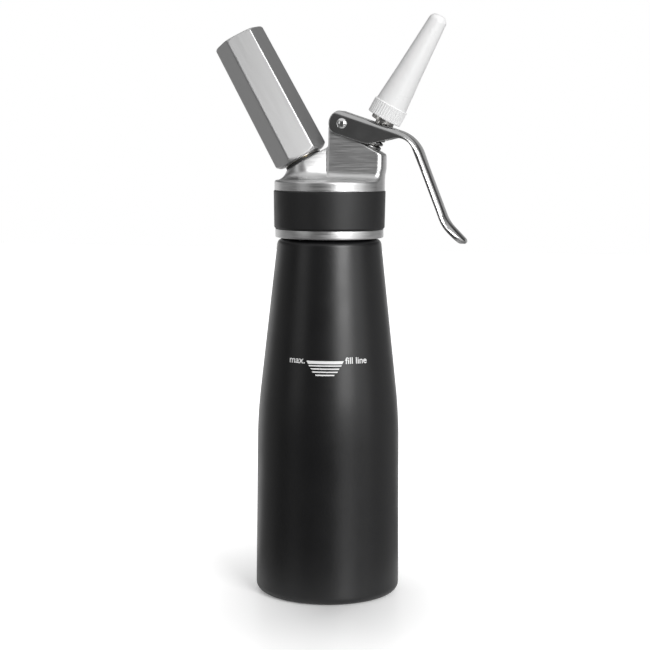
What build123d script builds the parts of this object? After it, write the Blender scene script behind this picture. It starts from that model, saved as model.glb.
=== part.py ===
from build123d import *
import os
from math import cos, hypot, pi, radians, sin, tan

# Whipped cream dispenser of one litre: an aluminium bottle with a screw-on cast head, a
# spring-closed dispensing valve worked by a lever, and a hexagonal holder for one gas charger.
# Millimetres. +Z is up, +X points to the lever, and the origin is the centre of the foot.

# Clearances
RUNNING_FIT = 0.05          # radial play of a shaft that turns or slides in its hole
SEAT_GAP = 0.02             # play of a piece that is pressed or glued into its seat
LOOSE_GAP = 0.3             # play between pieces that screw or lift apart

# Bottle
FOOT_RADIUS = 44.8          # outside of the bottle just above its foot
FOOT_ROUNDING = 5.0
FOOT_GROOVE_RADIUS = 33.0   # middle of the shallow ring pressed into the underside
FOOT_GROOVE_WIDTH = 6.0
FOOT_GROOVE_DEPTH = 0.8
SIDE_HEIGHT = 112.0         # where the upright side meets the cone
SIDE_TOP_RADIUS = 43.94
SIDE_BLEND = 312.0          # long blend between the side and the cone
SHOULDER_HEIGHT = 221.0
SHOULDER_RADIUS = 31.87     # the cone carried up to the shoulder's height
SHOULDER_ROUNDING = 3.8
BOTTLE_WALL = 1.5
BOTTLE_FLOOR = 2.5
NECK_RADIUS = 27.6
NECK_LENGTH = 22.0          # from the shoulder to the mouth
MOUTH_RADIUS = 24.5
LIP_ROUNDING = 0.6

# Screw threads, drawn as separate rings that clear the rings of the other half
THREAD_ROOT_SHARE = 0.5     # width of a ring at its root, as a share of the pitch
THREAD_CREST_SHARE = 0.25
NECK_THREAD_HEIGHT = 0.9
NECK_THREAD_PITCH = 5.0
NECK_THREAD_TURNS = 3
NECK_THREAD_START = 4.5     # from the shoulder to the middle of the first ring

# Head: skirt, grip band and collar
SKIRT_GAP = 0.8             # between the bottle's shoulder and the skirt
SKIRT_RADIUS = 33.4
SKIRT_RING_HEIGHT = 5.2
SKIRT_ROUNDING = 0.8
BAND_HEIGHT = 23.5
BAND_RADIUS = 34.1          # the grip band's outside at its lower edge
BAND_FLARE = 0.4            # how much wider the band is at its upper edge
BAND_THICKNESS = 2.2
BAND_ROUNDING = 1.6
COLLAR_RADIUS = 34.0
COLLAR_HEIGHT = 6.2
COLLAR_ROUNDING = 1.2
CROWN_RISE = 1.8            # the collar's top rises this much to the middle
GASKET_THICKNESS = 2.2
CAVITY_DEPTH = 3.8          # hollow of the head above the gasket
CAVITY_ROUNDING = 2.0

# Axes of the valve and of the charger, both leaning from the bottle's axis
AXIS_LEAN = 28.85
VALVE_AXIS_HEIGHT = 234.06    # where the valve's axis crosses the bottle's axis
CHARGER_AXIS_HEIGHT = 238.7   # where the charger's axis crosses the bottle's axis

# Head: upright fin that carries the lever and the valve
FIN_LEFT = 0.5                # X of the fin's upright edge
FIN_END_RADIUS = 35.3         # the fin's right end, a cylinder about the bottle's axis
FIN_CORNER_HEIGHT = 290.8
FIN_CORNER_ROUNDING = 2.0
FIN_HALF_THICKNESS = 8.15     # at the top
FIN_DRAFT = 3.0
FIN_FLARE = 5.0               # radius of the sweep from the fin into the collar
FIN_STEP_ROUNDING = 2.5
FIN_END_ROUNDING = 1.2
VALVE_FACE = 50.4             # sloping face under the spring, along the valve's axis
VALVE_FACE_START = -9.0       # where that face begins, across the valve's axis

# Pivot of the lever
PIVOT_X = 9.3
PIVOT_HEIGHT = 291.5
PIVOT_LUG_RADIUS = 4.3
PIVOT_BOSS_RADIUS = 4.0
PIVOT_BOSS_HALF_LENGTH = 9.2
PIN_RADIUS = 2.0
PIN_HEAD_RADIUS = 3.1
PIN_HEAD_HEIGHT = 1.7
PIN_HEAD_GAP = 0.15

# Lever, pressed from sheet
SHEET = 1.5
LEVER_WIDTH = 22.0
HANDLE_WIDTH = 18.0
TAB_WIDTH = 21.0
LEVER_SLOPE = 18.3            # the lever's top plate below the horizontal
LEVER_TOP = 6.9               # from the pivot's axis to the top plate's outside
LEVER_BOTTOM = 7.2            # from the pivot's axis to the side wall's lower edge
LEVER_END_RADIUS = 8.3
LEVER_EDGE_ROUNDING = 1.2
HANDLE_BEND_X = 54.4          # corner between the top plate and the handle, before rounding
HANDLE_BEND_RADIUS = 24.0
TAB_BEND = (74.5, 232.6)        # corner between the handle and the finger tab
TAB_BEND_RADIUS = 22.0
TAB_END = (85.2, 221.6)
HANDLE_DEPTH = 4.6
WALL_LOW_X = 24.6             # lowest corner of the lever's side walls
WALL_LOW_ROUNDING = 14.0
HANDLE_ROOT_DROP = 6.9        # from the pivot down to where the side walls run out into the handle
HANDLE_ROOT_ROUNDING = 10.0
LEVER_NARROWS = (277.0, 262.0)    # heights between which the lever narrows to the handle
TAB_WIDENS = (238.0, 228.0)       # heights between which the handle widens to the tab
TAB_END_ROUNDING = 7.0
STEM_WINDOW_RADIUS = 6.0          # hole in the top plate for the valve stem

# Dispensing valve, heights along its own axis
VALVE_POCKET_RADIUS = 8.0
VALVE_SEAT = 24.0
VALVE_CHAMBER_RADIUS = 6.0
VALVE_CHAMBER_TOP = 29.0
STEM_RADIUS = 4.5
STEM_BORE_RADIUS = 2.4
STEM_BORE_START = 25.0
STEM_NOSE = 17.4
STEM_NOSE_RADIUS = 3.0
POPPET_RADIUS = 6.6
POPPET_THICKNESS = 2.4
POPPET_SEAL_THICKNESS = 2.2
POPPET_SEAL_RADIUS = 7.2
STEM_PORT_RADIUS = 1.3
STEM_PORT_HEIGHT = 27.0
STEM_PORTS = 4
O_RING_HEIGHT = 34.0
O_RING_GROOVE_RADIUS = 3.2
O_RING_GROOVE_WIDTH = 1.9
BUSH_RADIUS = 6.6
BUSH_BOTTOM = 42.0
STEM_SHOULDER = 61.0
STEM_END_RADIUS = 3.8
STEM_TOP = 74.0
CAP_THICKNESS = 1.5           # thrust washer between the spring and the lever
CAP_RADIUS = 7.4
SPRING_RADIUS = 6.9           # to the middle of the wire
SPRING_WIRE_RADIUS = 0.7
SPRING_TURNS = 4.0

# Nozzle and its connector
CONNECTOR_BOTTOM = 66.95
CONNECTOR_RADIUS = 7.4
CONNECTOR_ROUNDING = 0.5
CONNECTOR_THREAD_RADIUS = 6.6
CONNECTOR_THREAD_HEIGHT = 0.6
CONNECTOR_THREAD_PITCH = 2.4
CONNECTOR_THREAD_TURNS = 2
CONNECTOR_TOP = 77.5
CONNECTOR_BORE_RADIUS = 3.0
NOZZLE_BASE = 69.2
NOZZLE_COLLAR_RADIUS = 10.5
NOZZLE_COLLAR_HEIGHT = 9.4
NOZZLE_COLLAR_ROUNDING = 0.6
NOZZLE_ROOT_RADIUS = 10.0     # the cone just above the collar
NOZZLE_WAIST = (8.15, 100.5)  # radius and height where the cone gets steeper
NOZZLE_WAIST_BLEND = 60.0
NOZZLE_TIP_RADIUS = 5.45
NOZZLE_TIP = 139.5
NOZZLE_TIP_ROUNDING = 2.2
NOZZLE_WALL = 1.4
NOZZLE_MOUTH_RADIUS = 3.3
NOZZLE_LIP = 1.5              # straight length of the mouth
NOZZLE_RIBS = 36
NOZZLE_RIB_RADIUS = 0.35

# Charging valve, heights along the charger's axis
BOSS_FACE = 33.7
BOSS_RADIUS = 12.2
BOSS_FOOT_RADIUS = 14.5
BOSS_FOOT_X = -13.5
BOSS_TAIL_RADIUS = 8.6        # where the boss runs into the fin
BOSS_TAIL_REACH = 16.5
BOSS_FLARE = 5.0              # height and width of the boss's flare at the collar
BOSS_ROUNDING = 0.8
CHARGING_BORE_RADIUS = 6.5
CHARGING_BORE_BOTTOM = 19.0
GAS_CHANNEL_RADIUS = 4.4
VALVE_NOSE_RADIUS = 2.4
VALVE_NOSE_END = 13.5
SLEEVE_RADIUS = 3.6
SLEEVE_LENGTH = 4.4
BOSS_GASKET_RADIUS = 11.8
BOSS_GASKET_THICKNESS = 1.3
CHARGING_FLANGE_HEIGHT = 1.4
CHARGING_THREAD_RADIUS = 8.5
CHARGING_THREAD_HEIGHT = 0.7
CHARGING_THREAD_PITCH = 2.6
CHARGING_THREAD_TURNS = 4
CHARGING_TOP = 48.0
CHARGER_SEAT_RADIUS = 4.4
CHARGER_SEAT_DEPTH = 4.0
CHARGING_BORE = 1.2
PIERCING_PIN_RADIUS = 1.9
PIERCING_PIN_BOTTOM = 38.0
NEEDLE_RADIUS = 1.1
NEEDLE_TIP = 48.6
NEEDLE_BORE_RADIUS = 0.5
NECK_SEAL_THICKNESS = 1.6

# Gas charger: the standard 8 g steel cartridge
CHARGER_LENGTH = 66.0
CHARGER_RADIUS = 9.0
CHARGER_NECK_RADIUS = 3.75
CHARGER_NECK_LENGTH = 9.0
CHARGER_SHOULDER_LENGTH = 8.0
CHARGER_END_ROUNDING = 6.0
CHARGER_WALL = 1.3
CHARGER_HOLE_RADIUS = 1.4

# Charger holder
HOLDER_SIDES = 6
HOLDER_LENGTH = 84.0
HOLDER_MOUTH_FLATS = 30.1     # across flats at the mouth
HOLDER_END_FLATS = 28.2       # across flats at the closed end
HOLDER_CORNER_ROUNDING = 1.2
HOLDER_TURN = 13.5            # how far the hexagon happens to be turned when tight
HOLDER_CHAMFER = 38.0         # the cones that take off the corners, from the plane of each end
HOLDER_MOUTH_FACE_RADIUS = 14.6
HOLDER_END_FACE_RADIUS = 15.0
LINER_RADIUS = 11.3
LINER_BORE_RADIUS = 9.6
LINER_END_WALL = 1.8
LINER_ROUNDING = 0.4
LINER_LEAD = 0.6              # how far the liner stands out of the holder's mouth


LEAN = radians(AXIS_LEAN)
MOUTH_HEIGHT = SHOULDER_HEIGHT + NECK_LENGTH
SKIRT_BOTTOM = SHOULDER_HEIGHT + SKIRT_GAP
BAND_BOTTOM = SKIRT_BOTTOM + SKIRT_RING_HEIGHT
BAND_TOP = BAND_BOTTOM + BAND_HEIGHT
COLLAR_TOP = BAND_TOP + COLLAR_HEIGHT
HEAD_BORE_RADIUS = NECK_RADIUS + NECK_THREAD_HEIGHT + LOOSE_GAP
BAND_SEAT_RADIUS = BAND_RADIUS - BAND_THICKNESS
GASKET_TOP = MOUTH_HEIGHT + GASKET_THICKNESS
CEILING = GASKET_TOP + CAVITY_DEPTH
POPPET_TOP = VALVE_SEAT - POPPET_SEAL_THICKNESS
GASKET_FACE = BOSS_FACE + BOSS_GASKET_THICKNESS
LINER_RIM = GASKET_FACE + LOOSE_GAP
HOLDER_RIM = LINER_RIM + LINER_LEAD
CHARGER_SEAT = CHARGING_TOP - CHARGER_SEAT_DEPTH
CHARGER_START = CHARGER_SEAT + NECK_SEAL_THICKNESS
CHARGER_END = CHARGER_START + CHARGER_LENGTH
LINER_END = CHARGER_END + SEAT_GAP + LINER_END_WALL
PIVOT = (PIVOT_X, PIVOT_HEIGHT)
FIN_TOP = PIVOT_HEIGHT + PIVOT_LUG_RADIUS
HANDLE_ROOT = PIVOT_HEIGHT - HANDLE_ROOT_DROP

VALVE_AXIS = Plane(
    origin=(0, 0, VALVE_AXIS_HEIGHT),
    x_dir=(cos(LEAN), 0, -sin(LEAN)),
    z_dir=(sin(LEAN), 0, cos(LEAN)),
)
CHARGER_AXIS = Plane(
    origin=(0, 0, CHARGER_AXIS_HEIGHT),
    x_dir=(cos(LEAN), 0, sin(LEAN)),
    z_dir=(-sin(LEAN), 0, cos(LEAN)),
)


# Shapes that several pieces share

def outline(*corners):
    """Closed face from corners given as x, y and the radius that rounds the corner."""
    face = make_face(Polyline(*[corner[:2] for corner in corners], close=True))
    for x, y, radius in corners:
        if radius:
            face = fillet(face.vertices().sort_by_distance((x, y, 0))[0], radius)
    return face


def turned(*corners):
    """Solid turned about Z from corners given as radius, height and rounding."""
    return revolve(Plane.XZ * outline(*corners), Axis.Z)


def disc(radius, low, high):
    """Round bar about Z between two heights."""
    return Pos(0, 0, low) * Cylinder(radius, high - low, align=(Align.CENTER, Align.CENTER, Align.MIN))


def tube(radius, bore, low, high):
    """Round tube about Z between two heights."""
    return turned((bore, low, 0), (radius, low, 0), (radius, high, 0), (bore, high, 0))


def side_plate(face, width):
    """Solid from a face drawn in X and height, as wide as given, about the plane of symmetry."""
    return extrude(Plane.XZ * face, width / 2, both=True)


def cross_bar(radius, width):
    """Round bar along Y through the lever's pivot."""
    return side_plate(Pos(*PIVOT) * Circle(radius), width)


def thread_rings(radius, height, pitch, turns, start):
    """Rings of a thread: added to a bar they are ridges, and cut from a bore they are grooves."""
    root_half = pitch * THREAD_ROOT_SHARE / 2
    crest_half = pitch * THREAD_CREST_SHARE / 2
    rings = []
    for turn in range(turns):
        middle = start + turn * pitch
        rings.append(turned(
            (radius - SEAT_GAP, middle - root_half, 0),
            (radius + height, middle - crest_half, 0),
            (radius + height, middle + crest_half, 0),
            (radius - SEAT_GAP, middle + root_half, 0),
        ))
    return rings


def neck_thread(radius):
    """The thread between the bottle and the head, on a wall of the given radius."""
    start = SHOULDER_HEIGHT + NECK_THREAD_START
    return thread_rings(radius, NECK_THREAD_HEIGHT, NECK_THREAD_PITCH, NECK_THREAD_TURNS, start)


def charging_thread(radius):
    """The thread between the charging valve and the holder, on a wall of the given radius."""
    start = GASKET_FACE + CHARGING_FLANGE_HEIGHT + CHARGING_THREAD_PITCH / 2
    return thread_rings(
        radius, CHARGING_THREAD_HEIGHT, CHARGING_THREAD_PITCH, CHARGING_THREAD_TURNS, start
    )


def on_valve_axis(across, along):
    """X and height of a point given across and along the valve's axis."""
    point = VALVE_AXIS.from_local_coords(Vector(across, 0, along))
    return (point.X, point.Z)


def moved_aside(points, distance):
    """The corners of an open path moved to its right by a distance."""
    sides = []
    for start, end in zip(points, points[1:]):
        length = hypot(end[0] - start[0], end[1] - start[1])
        along = ((end[0] - start[0]) / length, (end[1] - start[1]) / length)
        sides.append((start, end, along, (along[1], -along[0])))
    first, last = sides[0], sides[-1]
    moved = [(first[0][0] + first[3][0] * distance, first[0][1] + first[3][1] * distance)]
    for before, after in zip(sides, sides[1:]):
        turn = before[2][0] * after[2][1] - before[2][1] * after[2][0]
        slide = distance * (1 - before[3][0] * after[3][0] - before[3][1] * after[3][1]) / turn
        corner = before[1]
        moved.append((
            corner[0] + before[3][0] * distance + before[2][0] * slide,
            corner[1] + before[3][1] * distance + before[2][1] * slide,
        ))
    moved.append((last[1][0] + last[3][0] * distance, last[1][1] + last[3][1] * distance))
    return moved


# Bottle

def bottle():
    outside = turned(
        (0, 0, 0),
        (FOOT_RADIUS, 0, FOOT_ROUNDING),
        (SIDE_TOP_RADIUS, SIDE_HEIGHT, SIDE_BLEND),
        (SHOULDER_RADIUS, SHOULDER_HEIGHT, SHOULDER_ROUNDING),
        (NECK_RADIUS, SHOULDER_HEIGHT, LIP_ROUNDING),
        (NECK_RADIUS, MOUTH_HEIGHT, LIP_ROUNDING),
        (0, MOUTH_HEIGHT, 0),
    )
    roof = SHOULDER_HEIGHT - BOTTLE_WALL
    inside = turned(
        (0, BOTTLE_FLOOR, 0),
        (FOOT_RADIUS - BOTTLE_WALL, BOTTLE_FLOOR, FOOT_ROUNDING - BOTTLE_WALL),
        (SIDE_TOP_RADIUS - BOTTLE_WALL, SIDE_HEIGHT, SIDE_BLEND),
        (SHOULDER_RADIUS - BOTTLE_WALL, roof, SHOULDER_ROUNDING - BOTTLE_WALL),
        (MOUTH_RADIUS, roof, LIP_ROUNDING),
        (MOUTH_RADIUS, MOUTH_HEIGHT + LOOSE_GAP, 0),
        (0, MOUTH_HEIGHT + LOOSE_GAP, 0),
    )
    groove = tube(
        FOOT_GROOVE_RADIUS + FOOT_GROOVE_WIDTH / 2,
        FOOT_GROOVE_RADIUS - FOOT_GROOVE_WIDTH / 2,
        -FOOT_GROOVE_DEPTH,
        FOOT_GROOVE_DEPTH,
    )
    return outside - inside - groove + neck_thread(NECK_RADIUS)


# Head

def head_turned_body():
    """Skirt, seat of the grip band, collar and the hollow over the bottle's mouth."""
    return turned(
        (HEAD_BORE_RADIUS, SKIRT_BOTTOM, 0),
        (SKIRT_RADIUS, SKIRT_BOTTOM, SKIRT_ROUNDING),
        (SKIRT_RADIUS, BAND_BOTTOM, 0),
        (BAND_SEAT_RADIUS, BAND_BOTTOM, 0),
        (BAND_SEAT_RADIUS, BAND_TOP, 0),
        (COLLAR_RADIUS, BAND_TOP, 0),
        (COLLAR_RADIUS, COLLAR_TOP, COLLAR_ROUNDING),
        (0, COLLAR_TOP + CROWN_RISE, 0),
        (0, CEILING, 0),
        (MOUTH_RADIUS, CEILING, CAVITY_ROUNDING),
        (MOUTH_RADIUS, GASKET_TOP, 0),
        (HEAD_BORE_RADIUS, GASKET_TOP, 0),
    )


def fin_side_face():
    """The fin seen from the side: upright edge, lug round the pivot and sloping valve face."""
    face_start = on_valve_axis(VALVE_FACE_START, VALVE_FACE)
    corner = (FIN_LEFT + FIN_CORNER_ROUNDING, FIN_CORNER_HEIGHT - FIN_CORNER_ROUNDING)
    foot = Line((FIN_LEFT, CEILING), (face_start[0], CEILING))
    step = Line((face_start[0], CEILING), face_start)
    lug = Pos(*PIVOT) * Circle(PIVOT_LUG_RADIUS)
    heel = Pos(*corner) * Circle(FIN_CORNER_ROUNDING)
    tower = make_hull(lug.edges() + heel.edges() + foot.edges() + step.edges())
    reach = FIN_END_RADIUS / cos(LEAN)
    face_end = on_valve_axis(reach, VALVE_FACE)
    wedge = outline(
        (PIVOT_X, CEILING, 0),
        (PIVOT_X, face_start[1], 0),
        (*face_start, 0),
        (*face_end, 0),
        (face_end[0], CEILING, 0),
    )
    whole = tower + wedge
    step_corner = whole.vertices().sort_by_distance((*face_start, 0))[0]
    return fillet(step_corner, FIN_STEP_ROUNDING)


def fin():
    """Upright fin: a drafted plate with a round right end, and a sweep at its foot."""
    foot_half = FIN_HALF_THICKNESS + (FIN_TOP - COLLAR_TOP) * tan(radians(FIN_DRAFT))
    half_width = foot_half + FIN_FLARE
    plate = outline(
        (-foot_half, CEILING, 0),
        (-foot_half, COLLAR_TOP, 0),
        (-FIN_HALF_THICKNESS, FIN_TOP, 0),
        (FIN_HALF_THICKNESS, FIN_TOP, 0),
        (foot_half, COLLAR_TOP, 0),
        (foot_half, CEILING, 0),
    )
    flared = outline(
        (-half_width, CEILING, 0),
        (-half_width, COLLAR_TOP, 0),
        (-foot_half, COLLAR_TOP, FIN_FLARE),
        (-FIN_HALF_THICKNESS, FIN_TOP, 0),
        (FIN_HALF_THICKNESS, FIN_TOP, 0),
        (foot_half, COLLAR_TOP, FIN_FLARE),
        (half_width, COLLAR_TOP, 0),
        (half_width, CEILING, 0),
    )
    post = extrude(Plane.YZ * plate, 2 * FIN_END_RADIUS, both=True) & disc(
        FIN_END_RADIUS, BAND_TOP, FIN_TOP
    )
    upright = post.edges().filter_by(lambda edge: edge.bounding_box().size.Z > COLLAR_HEIGHT)
    post = fillet(upright.filter_by_position(Axis.X, 0, FIN_END_RADIUS), FIN_END_ROUNDING)
    flat_radius = COLLAR_RADIUS - COLLAR_ROUNDING
    foot_sweep = extrude(Plane.YZ * flared, 2 * FIN_END_RADIUS, both=True) & turned(
        (0, BAND_TOP, 0),
        (flat_radius, BAND_TOP, 0),
        (flat_radius, COLLAR_TOP, 0),
        (flat_radius - FIN_FLARE, COLLAR_TOP + FIN_FLARE, 0),
        (0, COLLAR_TOP + FIN_FLARE, 0),
    )
    return side_plate(fin_side_face(), 2 * FIN_END_RADIUS) & (post + foot_sweep)


def drop_face(middle, radius, tail_radius, reach):
    """Drop-shaped face: a circle drawn out along X to a smaller one."""
    big = Pos(middle, 0) * Circle(radius)
    small = Pos(middle + reach, 0) * Circle(tail_radius)
    return make_hull(big.edges() + small.edges())


def charger_boss():
    """Slanting boss of the charging valve, which runs into the fin."""
    top = CHARGER_AXIS.offset(BOSS_FACE) * drop_face(0, BOSS_RADIUS, BOSS_TAIL_RADIUS, BOSS_TAIL_REACH)
    foot = Plane.XY.offset(BAND_TOP) * drop_face(
        BOSS_FOOT_X, BOSS_FOOT_RADIUS, BOSS_TAIL_RADIUS, BOSS_TAIL_REACH
    )
    boss = loft([foot, top])
    upper = boss.faces().sort_by_distance(CHARGER_AXIS.offset(BOSS_FACE).origin)[0]
    return fillet(upper.edges(), BOSS_ROUNDING) + boss_flare()


def boss_flare():
    """The foot of the boss, spread towards the collar's edge."""
    wide = Plane.XY.offset(COLLAR_TOP) * drop_face(
        BOSS_FOOT_X, BOSS_FOOT_RADIUS + BOSS_FLARE, BOSS_TAIL_RADIUS + BOSS_FLARE, BOSS_TAIL_REACH
    )
    narrow = Plane.XY.offset(COLLAR_TOP + BOSS_FLARE) * drop_face(
        BOSS_FOOT_X, BOSS_FOOT_RADIUS - SEAT_GAP, BOSS_TAIL_RADIUS, BOSS_TAIL_REACH
    )
    flat_radius = COLLAR_RADIUS - COLLAR_ROUNDING
    return loft([wide, narrow]) & disc(flat_radius, COLLAR_TOP, COLLAR_TOP + BOSS_FLARE)


def head_casting():
    """The cast head with its bores for the pin, the valve, the charging valve and the bottle."""
    boss_bar = cross_bar(PIVOT_BOSS_RADIUS, 2 * PIVOT_BOSS_HALF_LENGTH)
    above_face = VALVE_FACE + LOOSE_GAP
    valve_bores = VALVE_AXIS * (
        disc(VALVE_POCKET_RADIUS, 0, VALVE_SEAT)
        + disc(VALVE_CHAMBER_RADIUS, VALVE_SEAT, VALVE_CHAMBER_TOP)
        + disc(STEM_RADIUS + RUNNING_FIT, VALVE_SEAT, above_face)
        + disc(BUSH_RADIUS + SEAT_GAP, BUSH_BOTTOM, above_face)
    )
    charging_bores = CHARGER_AXIS * (
        disc(CHARGING_BORE_RADIUS, CHARGING_BORE_BOTTOM, BOSS_FACE + LOOSE_GAP)
        + disc(GAS_CHANNEL_RADIUS, 0, CHARGING_BORE_BOTTOM)
    )
    pin_bore = cross_bar(PIN_RADIUS + SEAT_GAP, LEVER_WIDTH)
    solid = head_turned_body() + fin() + charger_boss() + boss_bar
    return solid - valve_bores - charging_bores - pin_bore - neck_thread(HEAD_BORE_RADIUS)


def grip_band():
    inside = BAND_SEAT_RADIUS + SEAT_GAP
    low, high = BAND_BOTTOM + SEAT_GAP, BAND_TOP - SEAT_GAP
    return turned(
        (inside, low, 0),
        (BAND_RADIUS, low, BAND_ROUNDING),
        (BAND_RADIUS + BAND_FLARE, high, LIP_ROUNDING),
        (inside, high, 0),
    )


def head_gasket():
    return tube(HEAD_BORE_RADIUS - LOOSE_GAP, MOUTH_RADIUS, MOUTH_HEIGHT, GASKET_TOP)


# Lever and its pivot

def pivot_pin():
    """Pin with a domed head at each end, outside the lever's walls."""
    neck = LEVER_WIDTH / 2 + PIN_HEAD_GAP
    end = neck + PIN_HEAD_HEIGHT
    dome = PIN_HEAD_HEIGHT - PIN_HEAD_GAP
    pin = turned(
        (0, -end, 0),
        (PIN_HEAD_RADIUS, -end, dome),
        (PIN_HEAD_RADIUS, -neck, 0),
        (PIN_RADIUS, -neck, 0),
        (PIN_RADIUS, neck, 0),
        (PIN_HEAD_RADIUS, neck, 0),
        (PIN_HEAD_RADIUS, end, dome),
        (0, end, 0),
    )
    return Pos(PIVOT_X, 0, PIVOT_HEIGHT) * Rot(90, 0, 0) * pin


def on_lever(along, above):
    """X and height of a point along the lever's slope and above the pivot's axis."""
    slope = radians(LEVER_SLOPE)
    return (
        PIVOT_X + along * cos(slope) + above * sin(slope),
        PIVOT_HEIGHT - along * sin(slope) + above * cos(slope),
    )


def at_x(x, above):
    """Point of a line parallel to the lever's top plate, at a given X."""
    along = (x - PIVOT_X - above * sin(radians(LEVER_SLOPE))) / cos(radians(LEVER_SLOPE))
    return on_lever(along, above)


def lever_path():
    """Corners of the lever's outer surface from behind the pivot to the end of the finger tab."""
    start = on_lever(-2 * LEVER_END_RADIUS, LEVER_TOP)
    return [start, at_x(HANDLE_BEND_X, LEVER_TOP), TAB_BEND, TAB_END]


def lever_side_face():
    """The lever seen from the side, with the deep side walls near the pivot."""
    start, bend, tab_bend, end = lever_path()
    inner = moved_aside(lever_path(), HANDLE_DEPTH)
    (low_x, low_z), (high_x, high_z) = inner[2], inner[1]
    share = (HANDLE_ROOT - low_z) / (high_z - low_z)
    root = (low_x + share * (high_x - low_x), HANDLE_ROOT)
    face = outline(
        (*start, 0),
        (*bend, HANDLE_BEND_RADIUS),
        (*tab_bend, TAB_BEND_RADIUS),
        (*end, 0),
        (*inner[3], 0),
        (*inner[2], TAB_BEND_RADIUS + HANDLE_DEPTH),
        (*root, HANDLE_ROOT_ROUNDING),
        (*at_x(WALL_LOW_X, -LEVER_BOTTOM), WALL_LOW_ROUNDING),
        (*on_lever(-2 * LEVER_END_RADIUS, -LEVER_BOTTOM), 0),
    )
    size = 4 * LEVER_END_RADIUS
    behind = Pos(-size / 2, 0) * Rectangle(size, size) - Circle(LEVER_END_RADIUS)
    return face - Pos(*PIVOT) * Rot(0, 0, -LEVER_SLOPE) * behind


def lever_channel_face():
    """Everything under the sheet, seen from the side."""
    start, bend, tab_bend, end = moved_aside(lever_path(), SHEET)
    return outline(
        (*start, 0),
        (*bend, HANDLE_BEND_RADIUS - SHEET),
        (*tab_bend, TAB_BEND_RADIUS + SHEET),
        (*end, 0),
        (start[0], end[1], 0),
    )


def lever_width_face(margin):
    """The lever's width at each height, inside a margin."""
    lever = LEVER_WIDTH / 2 - margin
    handle = HANDLE_WIDTH / 2 - margin
    tab = TAB_WIDTH / 2 - margin
    end = TAB_END[1] - HANDLE_DEPTH / 2 + margin
    right = [
        (lever, PIVOT_HEIGHT + 2 * LEVER_END_RADIUS, 0),
        (lever, LEVER_NARROWS[0], TAB_BEND_RADIUS),
        (handle, LEVER_NARROWS[1], TAB_BEND_RADIUS),
        (handle, TAB_WIDENS[0], TAB_BEND_RADIUS),
        (tab, TAB_WIDENS[1], TAB_END_ROUNDING),
        (tab, end, TAB_END_ROUNDING - margin),
    ]
    left = [(-y, z, rounding) for y, z, rounding in reversed(right)]
    return outline(*right, *left)


def lever_arm():
    """Pressed channel whose side walls straddle the fin and run out along the handle."""
    reach = 2 * TAB_END[0]
    outer = side_plate(lever_side_face(), LEVER_WIDTH) & extrude(
        Plane.YZ * lever_width_face(0), reach, both=True
    )
    folds = outer.edges().filter_by(lambda edge: edge.length > LEVER_WIDTH + SHEET)
    outer = fillet(
        folds.filter_by_position(Axis.Z, PIVOT_HEIGHT, PIVOT_HEIGHT + LEVER_TOP), LEVER_EDGE_ROUNDING
    )
    inner = side_plate(lever_channel_face(), LEVER_WIDTH) & extrude(
        Plane.YZ * lever_width_face(SHEET), reach, both=True
    )
    window = VALVE_AXIS * disc(STEM_WINDOW_RADIUS, STEM_SHOULDER, NOZZLE_BASE)
    return outer - inner - window - cross_bar(PIN_RADIUS + RUNNING_FIT, LEVER_WIDTH)


# Dispensing valve

def valve_stem():
    """Hollow stem: nose, poppet, ports, groove of the seal, guide, shoulder and threaded end."""
    poppet_bottom = POPPET_TOP - POPPET_THICKNESS
    groove_low = O_RING_HEIGHT - O_RING_GROOVE_WIDTH / 2
    groove_high = O_RING_HEIGHT + O_RING_GROOVE_WIDTH / 2
    stem = turned(
        (0, STEM_NOSE, 0),
        (STEM_NOSE_RADIUS, STEM_NOSE, LIP_ROUNDING),
        (STEM_NOSE_RADIUS, poppet_bottom, 0),
        (POPPET_RADIUS, poppet_bottom, LIP_ROUNDING),
        (POPPET_RADIUS, POPPET_TOP, 0),
        (STEM_RADIUS, POPPET_TOP, 0),
        (STEM_RADIUS, groove_low, 0),
        (O_RING_GROOVE_RADIUS, groove_low, 0),
        (O_RING_GROOVE_RADIUS, groove_high, 0),
        (STEM_RADIUS, groove_high, 0),
        (STEM_RADIUS, STEM_SHOULDER, 0),
        (STEM_END_RADIUS, STEM_SHOULDER, 0),
        (STEM_END_RADIUS, STEM_TOP, LOOSE_GAP),
        (STEM_BORE_RADIUS, STEM_TOP, 0),
        (STEM_BORE_RADIUS, STEM_BORE_START, 0),
        (0, STEM_BORE_START, 0),
    )
    port = Pos(0, 0, STEM_PORT_HEIGHT) * Rot(0, 90, 0) * disc(STEM_PORT_RADIUS, 0, POPPET_RADIUS)
    ports = [Rot(0, 0, turn * 360 / STEM_PORTS) * port for turn in range(STEM_PORTS)]
    return VALVE_AXIS * (stem - ports)


def poppet_seal():
    return VALVE_AXIS * tube(POPPET_SEAL_RADIUS, STEM_RADIUS + SEAT_GAP, POPPET_TOP, VALVE_SEAT)


def stem_o_ring():
    room = STEM_RADIUS + RUNNING_FIT - O_RING_GROOVE_RADIUS
    section = room / 2 - SEAT_GAP
    return VALVE_AXIS * Pos(0, 0, O_RING_HEIGHT) * Torus(O_RING_GROOVE_RADIUS + room / 2, section)


def stem_bush():
    return VALVE_AXIS * tube(BUSH_RADIUS, STEM_RADIUS + RUNNING_FIT, BUSH_BOTTOM, VALVE_FACE)


def spring_washer():
    top = STEM_SHOULDER + CAP_THICKNESS
    return VALVE_AXIS * tube(CAP_RADIUS, STEM_END_RADIUS + RUNNING_FIT, STEM_SHOULDER, top)


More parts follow.
